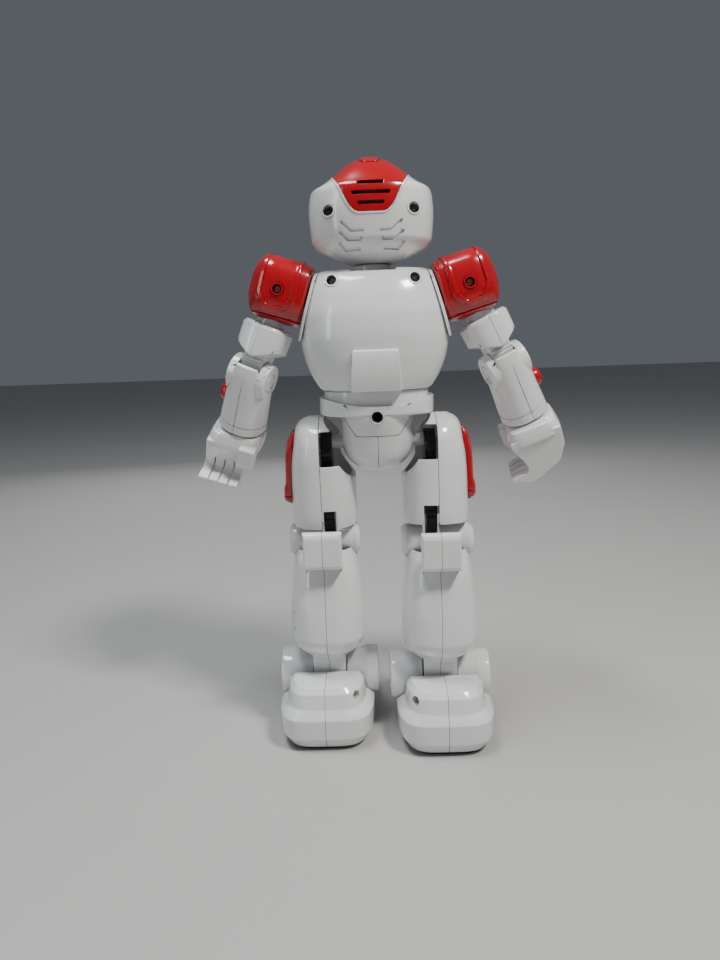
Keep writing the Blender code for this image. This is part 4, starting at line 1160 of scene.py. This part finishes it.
def build_upper_arms():
    for tag in SIDES:
        body = BODIES["upper_arm" + tag]
        cuff = loft(body, CUFF_RINGS, power=2.5, count=96, high=1.2)
        carve(cuff, keeps(prism(body, CUFF_OUTLINE, -40, 40)))
        stem = rod(body, (0, 0, -20), (0, 0, -7), 6.6, edge=0.5)
        lug = prism(body, rounded(LUG_OUTLINE, 0.8, 3), -LUG_HALF, LUG_HALF, "X")
        lines = [block(body, (-9, y, z), (9, y + 2, z + 0.5)) for z in (-32.6, -34.2, -35.8)
                 for y in (5.7, -7.7)]
        seam = [block(body, (-0.08, y, -34), (0.08, y + 4, -15)) for y in (10.6, -14.6)]
        carve(cuff, joins(stem) + cuts(merged(seam)) + joins(lug)
              + cuts(merged(lines), rod(body, (-20, 0, -ELBOW_DROP), (20, 0, -ELBOW_DROP), 2.5)))
        done(cuff, "arm_cuff" + tag, body, ["upper_arm_cuff" + tag], edge=0.28)


FOREARM_RINGS = [(-27.4, 0, 0, 9.6, 9.4), (-26.8, 0, 0, 10.6, 10.4), (-25.6, 0, 0, 11, 10.8),
                 (-21, 0, 0, 10.9, 10.7), (-12, 0, 0, 10.4, 10.4), (-4, 0, 0.1, 10.1, 10.1),
                 (2, 0, 0.6, 9.7, 9.3), (7.4, 0, 1.8, 8.9, 7.2)]
FLAP_OUTLINE = [(-4.9, 8.2), (4.9, 8.2), (6.3, 3.2), (9.4, -1.6), (10.2, -4), (14, -5), (14, -32), (-14, -32),
                (-14, -5), (-10.2, -4), (-9.4, -1.6), (-6.3, 3.2)]
DOME_Z = -12


def build_forearms():
    for tag, side in SIDES.items():
        body = BODIES["forearm" + tag]
        arm = loft(body, FOREARM_RINGS, power=2.3, count=112)
        flap = prism(body, rounded(FLAP_OUTLINE, 1.6, 4), -40, 40)
        hollow = loft(body, grown(FOREARM_RINGS[:5], -WALL, WALL, 3.2), count=64, steps=3)
        cheeks = [rod(body, (end * 5, 0, 0), (end * 9.6, 0, 0), 8.8, 8.4, 0.7, 72) for end in (1, -1)]
        slot = block(body, (-5.7, -20, -7.5), (5.7, 6.6, 20))
        pin = rod(body, (-8.4, 0, 0), (8.4, 0, 0), 2.1)
        ring = revolve(body, [(9.6, -0.22), (14, -0.22), (14, 0.22), (9.6, 0.22), (9.6, -0.22)],
                       (0, 0, -22.6), (0, 0, -20), 96)
        core = loft(body, grown(FOREARM_RINGS, -0.45), power=2.3, count=96)
        discs = []
        for end in (1, -1):
            discs.append(revolve(body, [(4, 0), (4.35, 0), (4.35, 3), (4, 3), (4, 0)],
                                 (end * 9.3, 0, 0), (end * 20, 0, 0), 48))
            discs.append(block(body, (min(end * 9.2, end * 14), -2.6, -0.45),
                               (max(end * 9.2, end * 14), 2.6, 0.45)))
        dome_hole = rod(body, (side * 4, 0, DOME_Z), (side * 20, 0, DOME_Z), 4.85)
        seams = [block(body, (-0.08, y, -30), (0.08, y + 5.1, 12)) for y in (9.9, -15)]
        carve(arm, keeps(flap) + cuts(hollow) + joins(*cheeks) + cuts(slot) + joins(pin)
              + cuts(dome_hole, carve(ring, cuts(core)), merged(discs), merged(seams)))
        done(arm, "forearm_skin" + tag, body, ["forearm_shell" + tag], edge=0.28)
        profile = [(0, 0), (4.7, 0), (4.7, 2.4), (4.45, 3.6), (3.8, 4.6), (2.7, 5.3), (1.4, 5.7), (0, 5.8)]
        dome = revolve(body, profile, (side * 8.2, 0, DOME_Z), (side * 20, 0, DOME_Z), 64)
        done(dome, "outer_dome" + tag, body, ["forearm_dome" + tag], slot="red_plastic", edge=0)


HAND_PROFILE = [(-11.4, -5.5), (-11.4, -8), (-7.8, -17.4), (-7.3, -20.4), (-9, -22.8), (-12.8, -22.5),
                (-17, -23.6), (-16.5, -25.2), (-7.7, -28.3), (-3.2, -26.8), (7.4, -22.3), (12.3, -14.3),
                (13.2, -5.5)]
PALM_RINGS = [(-8.4, 0.8, 1.7, 12.6, 12.9), (-7.6, 0.8, 1.6, 12.8, 12.9), (-2, 0.8, 1, 11.7, 12.1),
              (-0.4, 0.4, 0.4, 10.8, 10.8)]
FINGERS_Y = (-5.6, -0.9, 3.9, 8.7, 13.6)


def build_hands():
    for tag, side in SIDES.items():
        body = BODIES["hand" + tag]
        profile = flip(HAND_PROFILE, side)
        hand = prism(body, rounded(profile, 1.3, 4), -5.6, 13.6)
        palm = loft(body, beside(PALM_RINGS, side), power=4, count=96, high=0.8)
        gaps = []
        for y in FINGERS_Y[1:-1]:
            gaps.append(block(body, (-40, y - 0.3, -40), (40, y + 0.3, -16)))
        thumb_line = flip([(-14.5, -4), (-14.5, -12.6), (-13, -15.4), (-9, -16.2), (-6, -15), (-5, -11),
                           (-5, -4)], side)
        thumb = prism(body, rounded(thumb_line, 1.2, 4), -10.4, -2.6)
        carve(hand, cuts(merged(gaps)) + joins(palm, thumb))
        done(hand, "hand_palm" + tag, body, ["hand" + tag], edge=0.32)


# ---------------------------------------------------------------- assembly

def main():
    make_camera()
    make_stage()
    paint_frame_nodes()
    for build in BUILDERS:
        build()
        remove_tools()


BUILDERS = [build_head, build_head_button, build_torso, build_chest_button, build_pelvis, build_thighs,
            build_shins, build_feet, build_shoulders, build_upper_arms, build_forearms, build_hands]
main()
